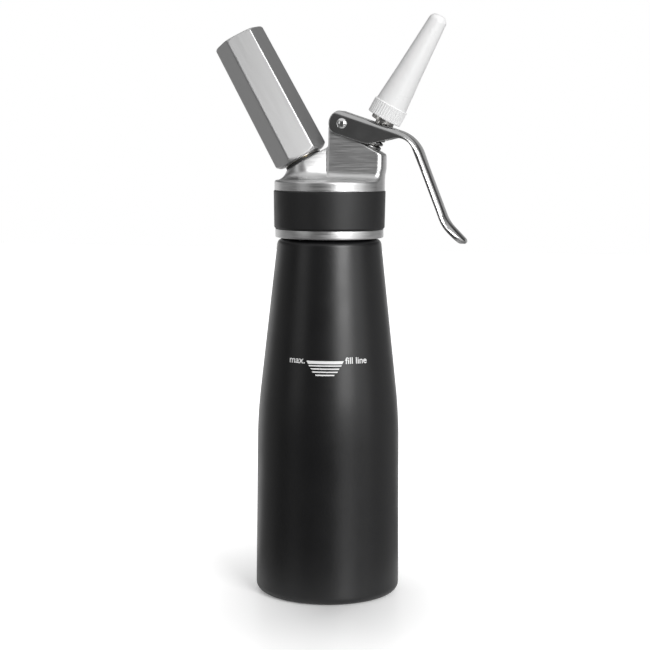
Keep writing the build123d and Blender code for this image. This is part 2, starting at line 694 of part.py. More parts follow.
def valve_spring():
    """Compression spring from the sloping face to the washer on the stem's shoulder."""
    low = VALVE_FACE + SPRING_WIRE_RADIUS + SEAT_GAP
    height = STEM_SHOULDER - SPRING_WIRE_RADIUS - SEAT_GAP - low
    path = Pos(0, 0, low) * Helix(height / SPRING_TURNS, height, SPRING_RADIUS)
    section = Plane(origin=path @ 0, z_dir=path % 0) * Circle(SPRING_WIRE_RADIUS)
    return VALVE_AXIS * sweep(section, path, is_frenet=True)


# Nozzle

def nozzle_connector():
    """Threaded adapter that clamps the lever's top plate and carries the nozzle."""
    socket = STEM_END_RADIUS + SEAT_GAP
    body = turned(
        (socket, CONNECTOR_BOTTOM, 0),
        (CONNECTOR_RADIUS, CONNECTOR_BOTTOM, CONNECTOR_ROUNDING),
        (CONNECTOR_RADIUS, NOZZLE_BASE, 0),
        (CONNECTOR_THREAD_RADIUS - CONNECTOR_THREAD_HEIGHT, NOZZLE_BASE, 0),
        (CONNECTOR_THREAD_RADIUS - CONNECTOR_THREAD_HEIGHT, CONNECTOR_TOP, CONNECTOR_ROUNDING),
        (CONNECTOR_BORE_RADIUS, CONNECTOR_TOP, 0),
        (CONNECTOR_BORE_RADIUS, STEM_TOP, 0),
        (socket, STEM_TOP, 0),
    )
    rings = thread_rings(
        CONNECTOR_THREAD_RADIUS - CONNECTOR_THREAD_HEIGHT,
        CONNECTOR_THREAD_HEIGHT,
        CONNECTOR_THREAD_PITCH,
        CONNECTOR_THREAD_TURNS,
        NOZZLE_BASE + CONNECTOR_THREAD_PITCH,
    )
    return VALVE_AXIS * (body + rings)


def decorator_nozzle():
    """Long conical nozzle with a ribbed collar, open at its tip."""
    socket = CONNECTOR_THREAD_RADIUS + LOOSE_GAP
    collar_top = NOZZLE_BASE + NOZZLE_COLLAR_HEIGHT
    waist_radius, waist_height = NOZZLE_WAIST
    outside = turned(
        (0, NOZZLE_BASE, 0),
        (NOZZLE_COLLAR_RADIUS, NOZZLE_BASE, NOZZLE_COLLAR_ROUNDING),
        (NOZZLE_COLLAR_RADIUS, collar_top, 0),
        (NOZZLE_ROOT_RADIUS, collar_top, 0),
        (waist_radius, waist_height, NOZZLE_WAIST_BLEND),
        (NOZZLE_TIP_RADIUS, NOZZLE_TIP, NOZZLE_TIP_ROUNDING),
        (0, NOZZLE_TIP, 0),
    )
    inside = turned(
        (0, NOZZLE_BASE - LOOSE_GAP, 0),
        (socket, NOZZLE_BASE - LOOSE_GAP, 0),
        (socket, collar_top, 0),
        (waist_radius - NOZZLE_WALL, waist_height, 0),
        (NOZZLE_MOUTH_RADIUS, NOZZLE_TIP - NOZZLE_LIP, 0),
        (NOZZLE_MOUTH_RADIUS, NOZZLE_TIP + LOOSE_GAP, 0),
        (0, NOZZLE_TIP + LOOSE_GAP, 0),
    )
    rib_low = NOZZLE_BASE + NOZZLE_COLLAR_ROUNDING
    rib = Pos(NOZZLE_COLLAR_RADIUS, 0, 0) * disc(NOZZLE_RIB_RADIUS, rib_low, collar_top)
    ribs = [Rot(0, 0, turn * 360 / NOZZLE_RIBS) * rib for turn in range(NOZZLE_RIBS)]
    return VALVE_AXIS * (outside - inside + ribs)


# Charging valve

def charging_valve():
    """Threaded insert: nose in the gas channel, shank, flange, outer thread and charger seat."""
    shank = CHARGING_BORE_RADIUS - SEAT_GAP
    flange = CHARGING_THREAD_RADIUS + CHARGING_THREAD_HEIGHT
    flange_top = GASKET_FACE + CHARGING_FLANGE_HEIGHT
    body = turned(
        (CHARGING_BORE, VALVE_NOSE_END, 0),
        (VALVE_NOSE_RADIUS, VALVE_NOSE_END, LOOSE_GAP),
        (VALVE_NOSE_RADIUS, CHARGING_BORE_BOTTOM, 0),
        (shank, CHARGING_BORE_BOTTOM, 0),
        (shank, GASKET_FACE, 0),
        (flange, GASKET_FACE, 0),
        (flange, flange_top, LOOSE_GAP),
        (CHARGING_THREAD_RADIUS, flange_top, 0),
        (CHARGING_THREAD_RADIUS, CHARGING_TOP, LIP_ROUNDING),
        (CHARGER_SEAT_RADIUS, CHARGING_TOP, LIP_ROUNDING),
        (CHARGER_SEAT_RADIUS, CHARGER_SEAT, 0),
        (PIERCING_PIN_RADIUS + SEAT_GAP, CHARGER_SEAT, 0),
        (PIERCING_PIN_RADIUS + SEAT_GAP, PIERCING_PIN_BOTTOM, 0),
        (CHARGING_BORE, PIERCING_PIN_BOTTOM, 0),
    )
    return CHARGER_AXIS * (body + charging_thread(CHARGING_THREAD_RADIUS))


def piercing_pin():
    """Hollow needle on a stout foot."""
    cone = NEEDLE_RADIUS - NEEDLE_BORE_RADIUS
    return CHARGER_AXIS * turned(
        (NEEDLE_BORE_RADIUS, PIERCING_PIN_BOTTOM, 0),
        (PIERCING_PIN_RADIUS, PIERCING_PIN_BOTTOM, 0),
        (PIERCING_PIN_RADIUS, CHARGER_SEAT, 0),
        (NEEDLE_RADIUS, CHARGER_SEAT, 0),
        (NEEDLE_RADIUS, NEEDLE_TIP - 2 * cone, 0),
        (NEEDLE_BORE_RADIUS, NEEDLE_TIP, 0),
    )


def charger_seal():
    bore = PIERCING_PIN_RADIUS - LOOSE_GAP
    return CHARGER_AXIS * tube(CHARGER_SEAT_RADIUS - SEAT_GAP, bore, CHARGER_SEAT, CHARGER_START)


def check_sleeve():
    low = CHARGING_BORE_BOTTOM - LOOSE_GAP - SLEEVE_LENGTH
    return CHARGER_AXIS * tube(SLEEVE_RADIUS, VALVE_NOSE_RADIUS + SEAT_GAP, low, low + SLEEVE_LENGTH)


def boss_gasket():
    return CHARGER_AXIS * tube(BOSS_GASKET_RADIUS, CHARGING_BORE_RADIUS, BOSS_FACE, GASKET_FACE)


# Gas charger and its holder

def gas_charger():
    """Steel cartridge with a pierced neck."""
    neck_end = CHARGER_START + CHARGER_NECK_LENGTH
    body_start = neck_end + CHARGER_SHOULDER_LENGTH
    outside = turned(
        (0, CHARGER_START, 0),
        (CHARGER_NECK_RADIUS, CHARGER_START, LOOSE_GAP),
        (CHARGER_NECK_RADIUS, neck_end, CHARGER_WALL),
        (CHARGER_RADIUS, body_start, CHARGER_END_ROUNDING),
        (CHARGER_RADIUS, CHARGER_END, CHARGER_END_ROUNDING),
        (0, CHARGER_END, 0),
    )
    inside = turned(
        (0, CHARGER_START + CHARGER_WALL, 0),
        (CHARGER_NECK_RADIUS - CHARGER_WALL, CHARGER_START + CHARGER_WALL, 0),
        (CHARGER_NECK_RADIUS - CHARGER_WALL, neck_end + CHARGER_WALL, 0),
        (CHARGER_RADIUS - CHARGER_WALL, body_start + CHARGER_WALL, CHARGER_END_ROUNDING),
        (CHARGER_RADIUS - CHARGER_WALL, CHARGER_END - CHARGER_WALL, CHARGER_END_ROUNDING - CHARGER_WALL),
        (0, CHARGER_END - CHARGER_WALL, 0),
    )
    hole = disc(CHARGER_HOLE_RADIUS, CHARGER_START - LOOSE_GAP, neck_end)
    return CHARGER_AXIS * (outside - inside - hole)


def hexagon(flats):
    """Hexagon with rounded corners, one flat towards -Y before it is turned."""
    plain = RegularPolygon(flats / 2, HOLDER_SIDES, major_radius=False)
    return Rot(0, 0, HOLDER_TURN) * fillet(plain.vertices(), HOLDER_CORNER_ROUNDING)


def charger_holder():
    """Tapered hexagonal sleeve with its corners taken off at both ends."""
    end = HOLDER_RIM + HOLDER_LENGTH
    prism = loft([
        Pos(0, 0, HOLDER_RIM) * hexagon(HOLDER_MOUTH_FLATS),
        Pos(0, 0, end) * hexagon(HOLDER_END_FLATS),
    ])
    corner = HOLDER_MOUTH_FLATS / 2 / cos(pi / HOLDER_SIDES)
    bore = LINER_RADIUS + SEAT_GAP
    mouth_rise = (corner - HOLDER_MOUTH_FACE_RADIUS) * tan(radians(HOLDER_CHAMFER))
    end_drop = (corner - HOLDER_END_FACE_RADIUS) * tan(radians(HOLDER_CHAMFER))
    envelope = turned(
        (bore, HOLDER_RIM, 0),
        (HOLDER_MOUTH_FACE_RADIUS, HOLDER_RIM, 0),
        (corner, HOLDER_RIM + mouth_rise, 0),
        (corner, end - end_drop, 0),
        (HOLDER_END_FACE_RADIUS, end, 0),
        (0, end, 0),
        (0, LINER_END + SEAT_GAP, 0),
        (bore, LINER_END + SEAT_GAP, 0),
    )
    return CHARGER_AXIS * (prism & envelope)


def holder_liner():
    """Sleeve inside the holder: thread at the mouth, and a closed end that presses the charger."""
    inner_end = LINER_END - LINER_END_WALL
    liner = turned(
        (LINER_BORE_RADIUS, LINER_RIM, 0),
        (LINER_RADIUS, LINER_RIM, LINER_ROUNDING),
        (LINER_RADIUS, LINER_END, LINER_ROUNDING),
        (0, LINER_END, 0),
        (0, inner_end, 0),
        (LINER_BORE_RADIUS, inner_end, 0),
    )
    return CHARGER_AXIS * (liner - charging_thread(LINER_BORE_RADIUS))


def write(name, solid):
    """One file for each piece, named after it."""
    solid.label = name
    export_step(solid, os.path.join("parts", name + ".step"))


os.makedirs("parts", exist_ok=True)
for piece in (
    bottle,
    head_gasket,
    head_casting,
    grip_band,
    pivot_pin,
    lever_arm,
    valve_stem,
    poppet_seal,
    stem_o_ring,
    stem_bush,
    spring_washer,
    valve_spring,
    nozzle_connector,
    decorator_nozzle,
    charging_valve,
    piercing_pin,
    charger_seal,
    check_sleeve,
    boss_gasket,
    gas_charger,
    charger_holder,
    holder_liner,
):
    write(piece.__name__, piece())
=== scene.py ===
import itertools
import math

import bmesh
import bpy
import numpy as np
from mathutils import Matrix, Vector


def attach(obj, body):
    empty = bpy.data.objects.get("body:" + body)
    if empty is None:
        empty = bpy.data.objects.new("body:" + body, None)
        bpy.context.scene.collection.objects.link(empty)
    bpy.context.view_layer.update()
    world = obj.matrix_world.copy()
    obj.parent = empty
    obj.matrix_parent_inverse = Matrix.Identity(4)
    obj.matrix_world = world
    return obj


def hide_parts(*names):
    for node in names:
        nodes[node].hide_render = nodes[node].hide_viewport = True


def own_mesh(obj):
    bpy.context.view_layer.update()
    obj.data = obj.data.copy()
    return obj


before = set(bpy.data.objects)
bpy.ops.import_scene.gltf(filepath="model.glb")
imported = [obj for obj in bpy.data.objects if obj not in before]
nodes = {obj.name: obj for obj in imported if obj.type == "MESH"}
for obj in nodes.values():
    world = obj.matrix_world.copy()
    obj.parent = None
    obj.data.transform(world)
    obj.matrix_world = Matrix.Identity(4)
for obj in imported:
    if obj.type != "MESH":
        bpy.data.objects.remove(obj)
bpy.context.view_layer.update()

scene = bpy.context.scene

# Lengths are millimetres until addPiece turns them into metres
lean = math.radians(28.85)                     # both slanting axes lean this much from upright
valveHeight = 234.06                           # where the valve's axis crosses the bottle's
chargerHeight = 238.7                          # where the charger's axis does
armSlope = math.radians(18.3)                  # how far the lever's straight arm falls
upright = Matrix.Identity(4)
valveFrame = Matrix.Translation((0, 0, valveHeight)) @ Matrix.Rotation(lean, 4, "Y")
chargerFrame = Matrix.Translation((0, 0, chargerHeight)) @ Matrix.Rotation(-lean, 4, "Y")
toMetres = Matrix.Scale(0.001, 4)


# Shapes

def roundedPath(corners, steps):               # a corner is its two coordinates and its rounding
    path = []
    for place, corner in enumerate(corners):
        here = Vector(corner[:2])
        if corner[2] == 0:
            path.append(here)
            continue
        before = (Vector(corners[place - 1][:2]) - here).normalized()
        after = (Vector(corners[(place + 1) % len(corners)][:2]) - here).normalized()
        half = before.angle(after) / 2
        centre = here + (before + after).normalized() * corner[2] / math.sin(half)
        start = here + before * corner[2] / math.tan(half) - centre
        end = here + after * corner[2] / math.tan(half) - centre
        sweep = math.atan2(start.cross(end), start.dot(end))
        for step in range(steps + 1):
            path.append(centre + Matrix.Rotation(sweep * step / steps, 2) @ start)
    return path


def turnedMesh(path, segments, closed=True):   # an open path starts and ends on the axis
    bm = bmesh.new()
    ring = [bm.verts.new((x, 0, z)) for x, z in path]
    edges = [bm.edges.new(pair) for pair in zip(ring, ring[1:])]
    if closed:
        edges.append(bm.edges.new((ring[-1], ring[0])))
    bmesh.ops.spin(
        bm, geom=ring + edges, cent=(0, 0, 0), axis=(0, 0, 1),
        angle=2 * math.pi, steps=segments, use_merge=True,
    )
    bmesh.ops.remove_doubles(bm, verts=bm.verts, dist=0.0005)
    return bm


def arcPath(centre, radius, start, end, steps=10):
    path = []
    for step in range(steps + 1):
        turn = math.radians(start + (end - start) * step / steps)
        path.append(Vector((centre[0] + radius * math.cos(turn), centre[1] + radius * math.sin(turn))))
    return path


def movedAside(points, distance):              # an open path moved to its right
    sides = [(Vector(end) - Vector(start)).normalized() for start, end in zip(points, points[1:])]
    rights = [Vector((side.y, -side.x)) for side in sides]
    moved = [Vector(points[0]) + rights[0] * distance]
    for place in range(1, len(points) - 1):
        before, after = rights[place - 1], rights[place]
        moved.append(Vector(points[place]) + (before + after) * distance / (1 + before.dot(after)))
    return moved + [Vector(points[-1]) + rights[-1] * distance]


# Solids as distance fields, negative inside, for castings whose fillets run into each other

def trimmed(first, second, radius):            # what both hold, with rounded edges
    near = np.hypot(np.maximum(radius + first, 0), np.maximum(radius + second, 0))
    return np.minimum(-radius, np.maximum(first, second)) + near


def joined(first, second, radius):             # what either holds, with a hollow fillet
    near = np.hypot(np.maximum(radius - first, 0), np.maximum(radius - second, 0))
    return np.maximum(radius, np.minimum(first, second)) - near


def pathDistance(path, across, up):            # from a closed outline
    nearest = np.full(across.shape, 1e9)
    inside = np.zeros(across.shape, bool)
    for start, end in zip(path, path[1:] + path[:1]):
        run, rise = end[0] - start[0], end[1] - start[1]
        if run == 0 and rise == 0:
            continue
        fromX, fromZ = across - start[0], up - start[1]
        share = np.clip((fromX * run + fromZ * rise) / (run * run + rise * rise), 0, 1)
        nearest = np.minimum(nearest, (fromX - run * share) ** 2 + (fromZ - rise * share) ** 2)
        if rise:
            inside ^= ((start[1] <= up) != (end[1] <= up)) & (fromX < run * fromZ / rise)
    return np.sqrt(nearest) * np.where(inside, -1, 1)


def alongAxis(points, height, turn):           # distance from a leaning axis, and place along it
    x, y, z = points.T
    along = x * math.sin(turn) + (z - height) * math.cos(turn)
    return np.hypot(x * math.cos(turn) - (z - height) * math.sin(turn), y), along


def slopeOf(field, points):
    reach = 0.02
    sides = reach * np.eye(3)
    return np.stack([(field(points + side) - field(points - side)) / (2 * reach) for side in sides], -1)


def meshedField(field, low, high, step):       # one corner in each cell that the surface crosses
    block = 4                                  # the field is worked out in full only near its surface
    middle = (block - 1) / 2
    nearby = 1.3 * block * step
    low = np.array(low, float)
    counts = [block * math.ceil((high[axis] - low[axis]) / step / block) for axis in range(3)]
    lines = [low[axis] + step * (block * np.arange(counts[axis] // block) + middle) for axis in range(3)]
    centres = np.stack(np.meshgrid(*lines, indexing="ij"), -1)
    values = field(centres.reshape(-1, 3)).reshape(centres.shape[:3])
    for axis in range(3):
        values = values.repeat(block, axis)
    close = np.argwhere(np.abs(values) < nearby)
    values[tuple(close.T)] = field(low + close * step)
    inside = values < 0
    held = np.zeros([count - 1 for count in counts], int)
    corners = list(itertools.product((0, 1), repeat=3))
    for corner in corners:
        held += inside[tuple(slice(shift, shift + count - 1) for shift, count in zip(corner, counts))]
    cells = np.argwhere((held > 0) & (held < 8))
    numbers = np.full(held.shape, -1)
    numbers[tuple(cells.T)] = np.arange(len(cells))
    found = {corner: values[tuple((cells + corner).T)] for corner in corners}
    # a cell's corner starts in the middle of the crossings on the cell's edges
    total, hits = np.zeros((len(cells), 3)), np.zeros(len(cells))
    for corner in corners:
        for axis in range(3):
            if corner[axis]:
                continue
            other = tuple(1 if place == axis else shift for place, shift in enumerate(corner))
            crosses = (found[corner] < 0) != (found[other] < 0)
            share = found[corner] / np.where(crosses, found[corner] - found[other], 1)
            point = np.tile(np.array(corner, float), (len(cells), 1))
            point[:, axis] += share
            total += np.where(crosses[:, None], point, 0)
            hits += crosses
    places = low + (cells + total / hits[:, None]) * step
    longest = 0.5 * step
    for repeat in range(3):                    # and settles on the exact surface
        slope = slopeOf(field, places)
        move = -(field(places) / np.maximum((slope ** 2).sum(1), 0.25))[:, None] * slope
        places += np.clip(move, -longest, longest)
    quads = []                                 # each crossed grid edge has a face round it
    units = np.eye(3, dtype=int)
    for axis in range(3):
        side, lift = units[(axis + 1) % 3], units[(axis + 2) % 3]
        spots = np.argwhere(np.diff(inside.astype(np.int8), axis=axis))
        around = (side + lift, lift, 0 * lift, side)
        quads.append(np.stack([numbers[tuple((spots - shift).T)] for shift in around], -1))
    mesh = bpy.data.meshes.new("field")
    mesh.from_pydata(places.tolist(), [], np.concatenate(quads).tolist())
    bm = bmesh.new()
    bm.from_mesh(mesh)
    bpy.data.meshes.remove(mesh)
    return bm


def setNormals(mesh, place, field):            # the exact ones, wherever the mesh lies on the field
    tolerance = 0.02
    placed = np.array(toMetres @ place)
    corners = np.empty(len(mesh.vertices) * 3)
    mesh.vertices.foreach_get("co", corners)
    corners = corners.reshape(-1, 3)
    back = np.linalg.inv(placed)
    points = corners @ back[:3, :3].T + back[:3, 3]
    slope = slopeOf(field, points) @ back[:3, :3]
    length = np.linalg.norm(slope, axis=1)
    smooth = np.array([tuple(normal.vector) for normal in mesh.vertex_normals])
    onField = (np.abs(field(points)) < tolerance) & (length > 0)
    normals = np.where(onField[:, None], slope / np.maximum(length, 1e-9)[:, None], smooth)
    mesh.normals_split_custom_set_from_vertices(normals.tolist())


def addPiece(name, bm, place, body, look, stands=(), sharp=40, field=None):
    bmesh.ops.recalc_face_normals(bm, faces=bm.faces)
    bm.transform(toMetres @ place)
    mesh = bpy.data.meshes.new(name)
    bm.to_mesh(mesh)
    bm.free()
    mesh.shade_smooth()
    mesh.set_sharp_from_angle(angle=math.radians(sharp))
    mesh.materials.append(look)
    piece = bpy.data.objects.new(name, mesh)
    scene.collection.objects.link(piece)
    if field:
        setNormals(mesh, place, field)
    else:
        weighted = piece.modifiers.new("weighted", "WEIGHTED_NORMAL")
        weighted.keep_sharp = True
    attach(piece, body)
    if stands:
        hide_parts(*stands)
    return piece


# Materials

def newLook(name, color, rough, metal=0.0):
    look = bpy.data.materials.new(name)
    look.use_nodes = True
    shader = look.node_tree.nodes["Principled BSDF"]
    shader.inputs["Base Color"].default_value = (*color, 1)
    shader.inputs["Roughness"].default_value = rough
    shader.inputs["Metallic"].default_value = metal
    return look


def grainNoise(look, scale, stretch=(1, 1, 1), turn=0):    # unequal stretches draw it out into lines
    tree = look.node_tree
    coords = tree.nodes.new("ShaderNodeTexCoord")
    turned = tree.nodes.new("ShaderNodeMapping")
    turned.inputs["Rotation"].default_value = (0, turn, 0)
    stretched = tree.nodes.new("ShaderNodeMapping")
    stretched.inputs["Scale"].default_value = stretch
    noise = tree.nodes.new("ShaderNodeTexNoise")
    noise.inputs["Scale"].default_value = scale
    noise.inputs["Detail"].default_value = 3.0
    tree.links.new(coords.outputs["Object"], turned.inputs["Vector"])
    tree.links.new(turned.outputs["Vector"], stretched.inputs["Vector"])
    tree.links.new(stretched.outputs["Vector"], noise.inputs["Vector"])
    return noise.outputs["Fac"]


def mapped(look, value, low, high):            # noise lies mostly between 0.3 and 0.7
    tree = look.node_tree
    remap = tree.nodes.new("ShaderNodeMapRange")
    remap.inputs["From Min"].default_value = 0.3
    remap.inputs["From Max"].default_value = 0.7
    remap.inputs["To Min"].default_value = low
    remap.inputs["To Max"].default_value = high
    tree.links.new(value, remap.inputs["Value"])
    return remap.outputs["Result"]


def varyRoughness(look, value, low, high):
    shader = look.node_tree.nodes["Principled BSDF"]
    look.node_tree.links.new(mapped(look, value, low, high), shader.inputs["Roughness"])


def varyColor(look, value, dark, light):
    tree = look.node_tree
    mix = tree.nodes.new("ShaderNodeMix")
    mix.data_type = "RGBA"
    mix.inputs["A"].default_value = (*dark, 1)
    mix.inputs["B"].default_value = (*light, 1)
    tree.links.new(mapped(look, value, 0, 1), mix.inputs["Factor"])
    tree.links.new(mix.outputs["Result"], tree.nodes["Principled BSDF"].inputs["Base Color"])


def addBump(look, value, strength, distance):
    tree = look.node_tree
    bump = tree.nodes.new("ShaderNodeBump")
    bump.inputs["Strength"].default_value = strength
    bump.inputs["Distance"].default_value = distance
    tree.links.new(value, bump.inputs["Height"])
    tree.links.new(bump.outputs["Normal"], tree.nodes["Principled BSDF"].inputs["Normal"])


print("materials")

blackCoat = newLook("blackCoat", (0.005, 0.005, 0.0055), 0.36)
varyRoughness(blackCoat, grainNoise(blackCoat, 60), 0.33, 0.39)
addBump(blackCoat, grainNoise(blackCoat, 900), 0.10, 0.0002)

castMetal = newLook("castMetal", (0.66, 0.66, 0.66), 0.38, 1.0)
castLines = grainNoise(castMetal, 2.5, (30, 30, 900))
varyRoughness(castMetal, castLines, 0.32, 0.44)
varyColor(castMetal, castLines, (0.54, 0.54, 0.54), (0.70, 0.70, 0.70))
addBump(castMetal, castLines, 0.16, 0.0001)

gripRubber = newLook("gripRubber", (0.009, 0.009, 0.0095), 0.5)
varyRoughness(gripRubber, grainNoise(gripRubber, 90), 0.45, 0.54)
addBump(gripRubber, grainNoise(gripRubber, 1400), 0.15, 0.0002)

leverSteel = newLook("leverSteel", (0.48, 0.48, 0.48), 0.2, 1.0)
leverSteel.node_tree.nodes["Principled BSDF"].inputs["Specular Tint"].default_value = (0.5, 0.5, 0.5, 1)
leverLines = grainNoise(leverSteel, 2.5, (30, 700, 30), armSlope)
varyRoughness(leverSteel, leverLines, 0.16, 0.26)
addBump(leverSteel, leverLines, 0.06, 0.0001)

pinSteel = newLook("pinSteel", (0.72, 0.72, 0.72), 0.12, 1.0)
varyRoughness(pinSteel, grainNoise(pinSteel, 500), 0.08, 0.18)

stemSteel = newLook("stemSteel", (0.60, 0.59, 0.57), 0.25, 1.0)
varyRoughness(stemSteel, grainNoise(stemSteel, 2.5, (20, 20, 900), -lean), 0.18, 0.34)

springSteel = newLook("springSteel", (0.34, 0.34, 0.34), 0.3, 1.0)
varyRoughness(springSteel, grainNoise(springSteel, 700), 0.22, 0.38)

nozzlePlastic = newLook("nozzlePlastic", (0.80, 0.80, 0.80), 0.3)
nozzleShader = nozzlePlastic.node_tree.nodes["Principled BSDF"]
nozzleShader.inputs["Subsurface Weight"].default_value = 0.35
nozzleShader.inputs["Subsurface Radius"].default_value = (0.004, 0.004, 0.004)
varyRoughness(nozzlePlastic, grainNoise(nozzlePlastic, 120), 0.26, 0.34)
addBump(nozzlePlastic, grainNoise(nozzlePlastic, 500), 0.04, 0.0002)

guidePlastic = newLook("guidePlastic", (0.8, 0.8, 0.78), 0.45)
addBump(guidePlastic, grainNoise(guidePlastic, 700), 0.05, 0.0002)

holderMetal = newLook("holderMetal", (0.55, 0.55, 0.55), 0.42, 1.0)
holderLines = grainNoise(holderMetal, 1.0, (700, 700, 20), lean)
varyRoughness(holderMetal, holderLines, 0.40, 0.44)
addBump(holderMetal, holderLines, 0.03, 0.0001)

valveBrass = newLook("valveBrass", (0.60, 0.45, 0.20), 0.28, 1.0)
varyRoughness(valveBrass, grainNoise(valveBrass, 2.5, (20, 20, 900), lean), 0.22, 0.38)

sealRubber = newLook("sealRubber", (0.02, 0.02, 0.02), 0.6)
addBump(sealRubber, grainNoise(sealRubber, 1500), 0.2, 0.0001)

chargerSteel = newLook("chargerSteel", (0.62, 0.62, 0.62), 0.3, 1.0)
varyRoughness(chargerSteel, grainNoise(chargerSteel, 250), 0.25, 0.4)

whitePrint = newLook("whitePrint", (0.80, 0.80, 0.80), 0.5)
addBump(whitePrint, grainNoise(whitePrint, 1800), 0.1, 0.0001)


# Bottle

print("bottle")

shellShape = dict(
    footRadius=44.8, footRounding=5.0, sideHeight=112.0, sideRadius=43.94, sideBlend=312.0,
    shoulderHeight=221.0, shoulderRadius=31.87, shoulderRounding=3.8, wall=1.5, floor=2.5,
    neckRadius=27.6, neckTop=243.0, mouthRadius=24.5, mouthRounding=0.3, lip=0.6,
    grooveRadius=33.0, grooveWidth=6.0, grooveDepth=0.8, grooveRounding=0.3,
    insideShoulderRounding=2.0, insideFootRounding=3.5, segments=192,
)
threadShape = dict(start=4.5, pitch=5.0, turns=3, height=0.9, footHalf=1.25, crestHalf=0.625, rounding=0.15)


def threadCorners(radius):                     # the same rings on the neck and in the head, upwards
    thread = threadShape
    foot, crest, outer = thread["footHalf"], thread["crestHalf"], radius + thread["height"]
    corners = []
    for turn in range(thread["turns"]):
        middle = shellShape["shoulderHeight"] + thread["start"] + turn * thread["pitch"]
        for rise, across in ((-foot, radius), (-crest, outer), (crest, outer), (foot, radius)):
            corners.append((across, middle + rise, thread["rounding"]))
    return corners


def bottlePath():                              # each stretch leaves out the ends that it shares with the next
    shell = shellShape
    rounding = shell["grooveRounding"]
    grooveOut = shell["grooveRadius"] + shell["grooveWidth"] / 2
    grooveIn = shell["grooveRadius"] - shell["grooveWidth"] / 2
    insideFoot = shell["footRadius"] - shell["wall"]
    insideSide = shell["sideRadius"] - shell["wall"]
    insideShoulder = shell["shoulderRadius"] - shell["wall"]
    roof = shell["shoulderHeight"] - shell["wall"]
    foot = roundedPath([
        (0, shell["floor"], 0), (0, 0, 0),
        (grooveIn, 0, rounding), (grooveIn, shell["grooveDepth"], rounding),
        (grooveOut, shell["grooveDepth"], rounding), (grooveOut, 0, rounding),
        (shell["footRadius"], 0, shell["footRounding"]), (shell["sideRadius"], shell["sideHeight"], 0),
    ], steps=10)[1:-1]
    side = roundedPath([
        (shell["footRadius"], 0, 0), (shell["sideRadius"], shell["sideHeight"], shell["sideBlend"]),
        (shell["shoulderRadius"], shell["shoulderHeight"], 0),
    ], steps=40)[1:-1]
    neck = roundedPath([
        (shell["sideRadius"], shell["sideHeight"], 0),
        (shell["shoulderRadius"], shell["shoulderHeight"], shell["shoulderRounding"]),
        (shell["neckRadius"], shell["shoulderHeight"], shell["lip"]),
        *threadCorners(shell["neckRadius"]),
        (shell["neckRadius"], shell["neckTop"], shell["lip"]),
        (shell["mouthRadius"], shell["neckTop"], shell["mouthRounding"]),
        (shell["mouthRadius"], roof, shell["lip"]),
        (insideShoulder, roof, shell["insideShoulderRounding"]), (insideSide, shell["sideHeight"], 0),
    ], steps=8)[1:-1]
    inside = roundedPath([
        (insideShoulder, roof, 0), (insideSide, shell["sideHeight"], shell["sideBlend"]),
        (insideFoot, shell["floor"], shell["insideFootRounding"]), (0, shell["floor"], 0),
    ], steps=24)[1:]
    return foot + side + neck + inside


addPiece(
    "bottleShell", turnedMesh(bottlePath(), shellShape["segments"], closed=False), upright,
    "bottle", blackCoat, ("bottle",), sharp=50,
)

fillMarks = dict(
    azimuth=7.7, top=149.7, barThick=1.8, barHalf=11.4, thinThick=0.75, thinStart=2.5,
    thinPitch=1.86, thinHalves=(10.1, 8.7, 7.8, 5.8), endSlant=0.55, columns=24, raised=0.04,
    leftWord="max.", leftSize=5.7, leftEnd=-12.4, rightWord="fill line", rightSize=5.5, rightStart=12.3,
    wordBase=148.0, strokeGrowth=0.06,
)


def outsideRadius(height):                     # of the cone above its long blend
    shell = shellShape
    share = (height - shell["sideHeight"]) / (shell["shoulderHeight"] - shell["sideHeight"])
    return shell["sideRadius"] + (shell["shoulderRadius"] - shell["sideRadius"]) * share


def wrapped(bm):                               # x is along the surface, y is height, z is thickness
    turn = math.radians(fillMarks["azimuth"])
    for vert in bm.verts:
        radius = outsideRadius(vert.co.y) + vert.co.z
        angle = turn + vert.co.x / outsideRadius(fillMarks["top"])
        vert.co = (radius * math.sin(angle), -radius * math.cos(angle), vert.co.y)
    return bm


def addBar(bm, half, top, thick):
    columns = fillMarks["columns"]
    bottom = half - thick * fillMarks["endSlant"]    # the ends slant inwards like a bowl
    rows = []
    for depth in (-fillMarks["raised"], fillMarks["raised"]):
        for width, height in ((bottom, top - thick), (half, top)):
            rows.append([
                bm.verts.new((width * (2 * step / columns - 1), height, depth))
                for step in range(columns + 1)
            ])
    low, high, lowOut, highOut = rows
    for first, second in ((low, high), (high, highOut), (highOut, lowOut), (lowOut, low)):
        for step in range(columns):
            bm.faces.new((first[step], first[step + 1], second[step + 1], second[step]))
    for end in (0, columns):
        bm.faces.new((low[end], high[end], highOut[end], lowOut[end]))


def addWord(bm, text, size, start, end):       # set from its start or, where that is None, from its end
    curve = bpy.data.curves.new(text, "FONT")
    curve.body = text
    curve.size = size
    curve.extrude = fillMarks["raised"]
    curve.offset = fillMarks["strokeGrowth"]
    written = bpy.data.objects.new(text, curve)
    scene.collection.objects.link(written)
    bpy.context.view_layer.update()
    mesh = bpy.data.meshes.new_from_object(written.evaluated_get(bpy.context.evaluated_depsgraph_get()))
    left = min(vert.co.x for vert in mesh.vertices)
    right = max(vert.co.x for vert in mesh.vertices)
    shift = start - left if end is None else end - right
    mesh.transform(Matrix.Translation((shift, fillMarks["wordBase"], 0)))
    bm.from_mesh(mesh)
    bpy.data.objects.remove(written)
    bpy.data.curves.remove(curve)
    bpy.data.meshes.remove(mesh)


bars = bmesh.new()
addBar(bars, fillMarks["barHalf"], fillMarks["top"], fillMarks["barThick"])
for place, half in enumerate(fillMarks["thinHalves"]):
    top = fillMarks["top"] - fillMarks["thinStart"] - place * fillMarks["thinPitch"]
    addBar(bars, half, top, fillMarks["thinThick"])
addPiece("fillBars", wrapped(bars), upright, "bottle", whitePrint)

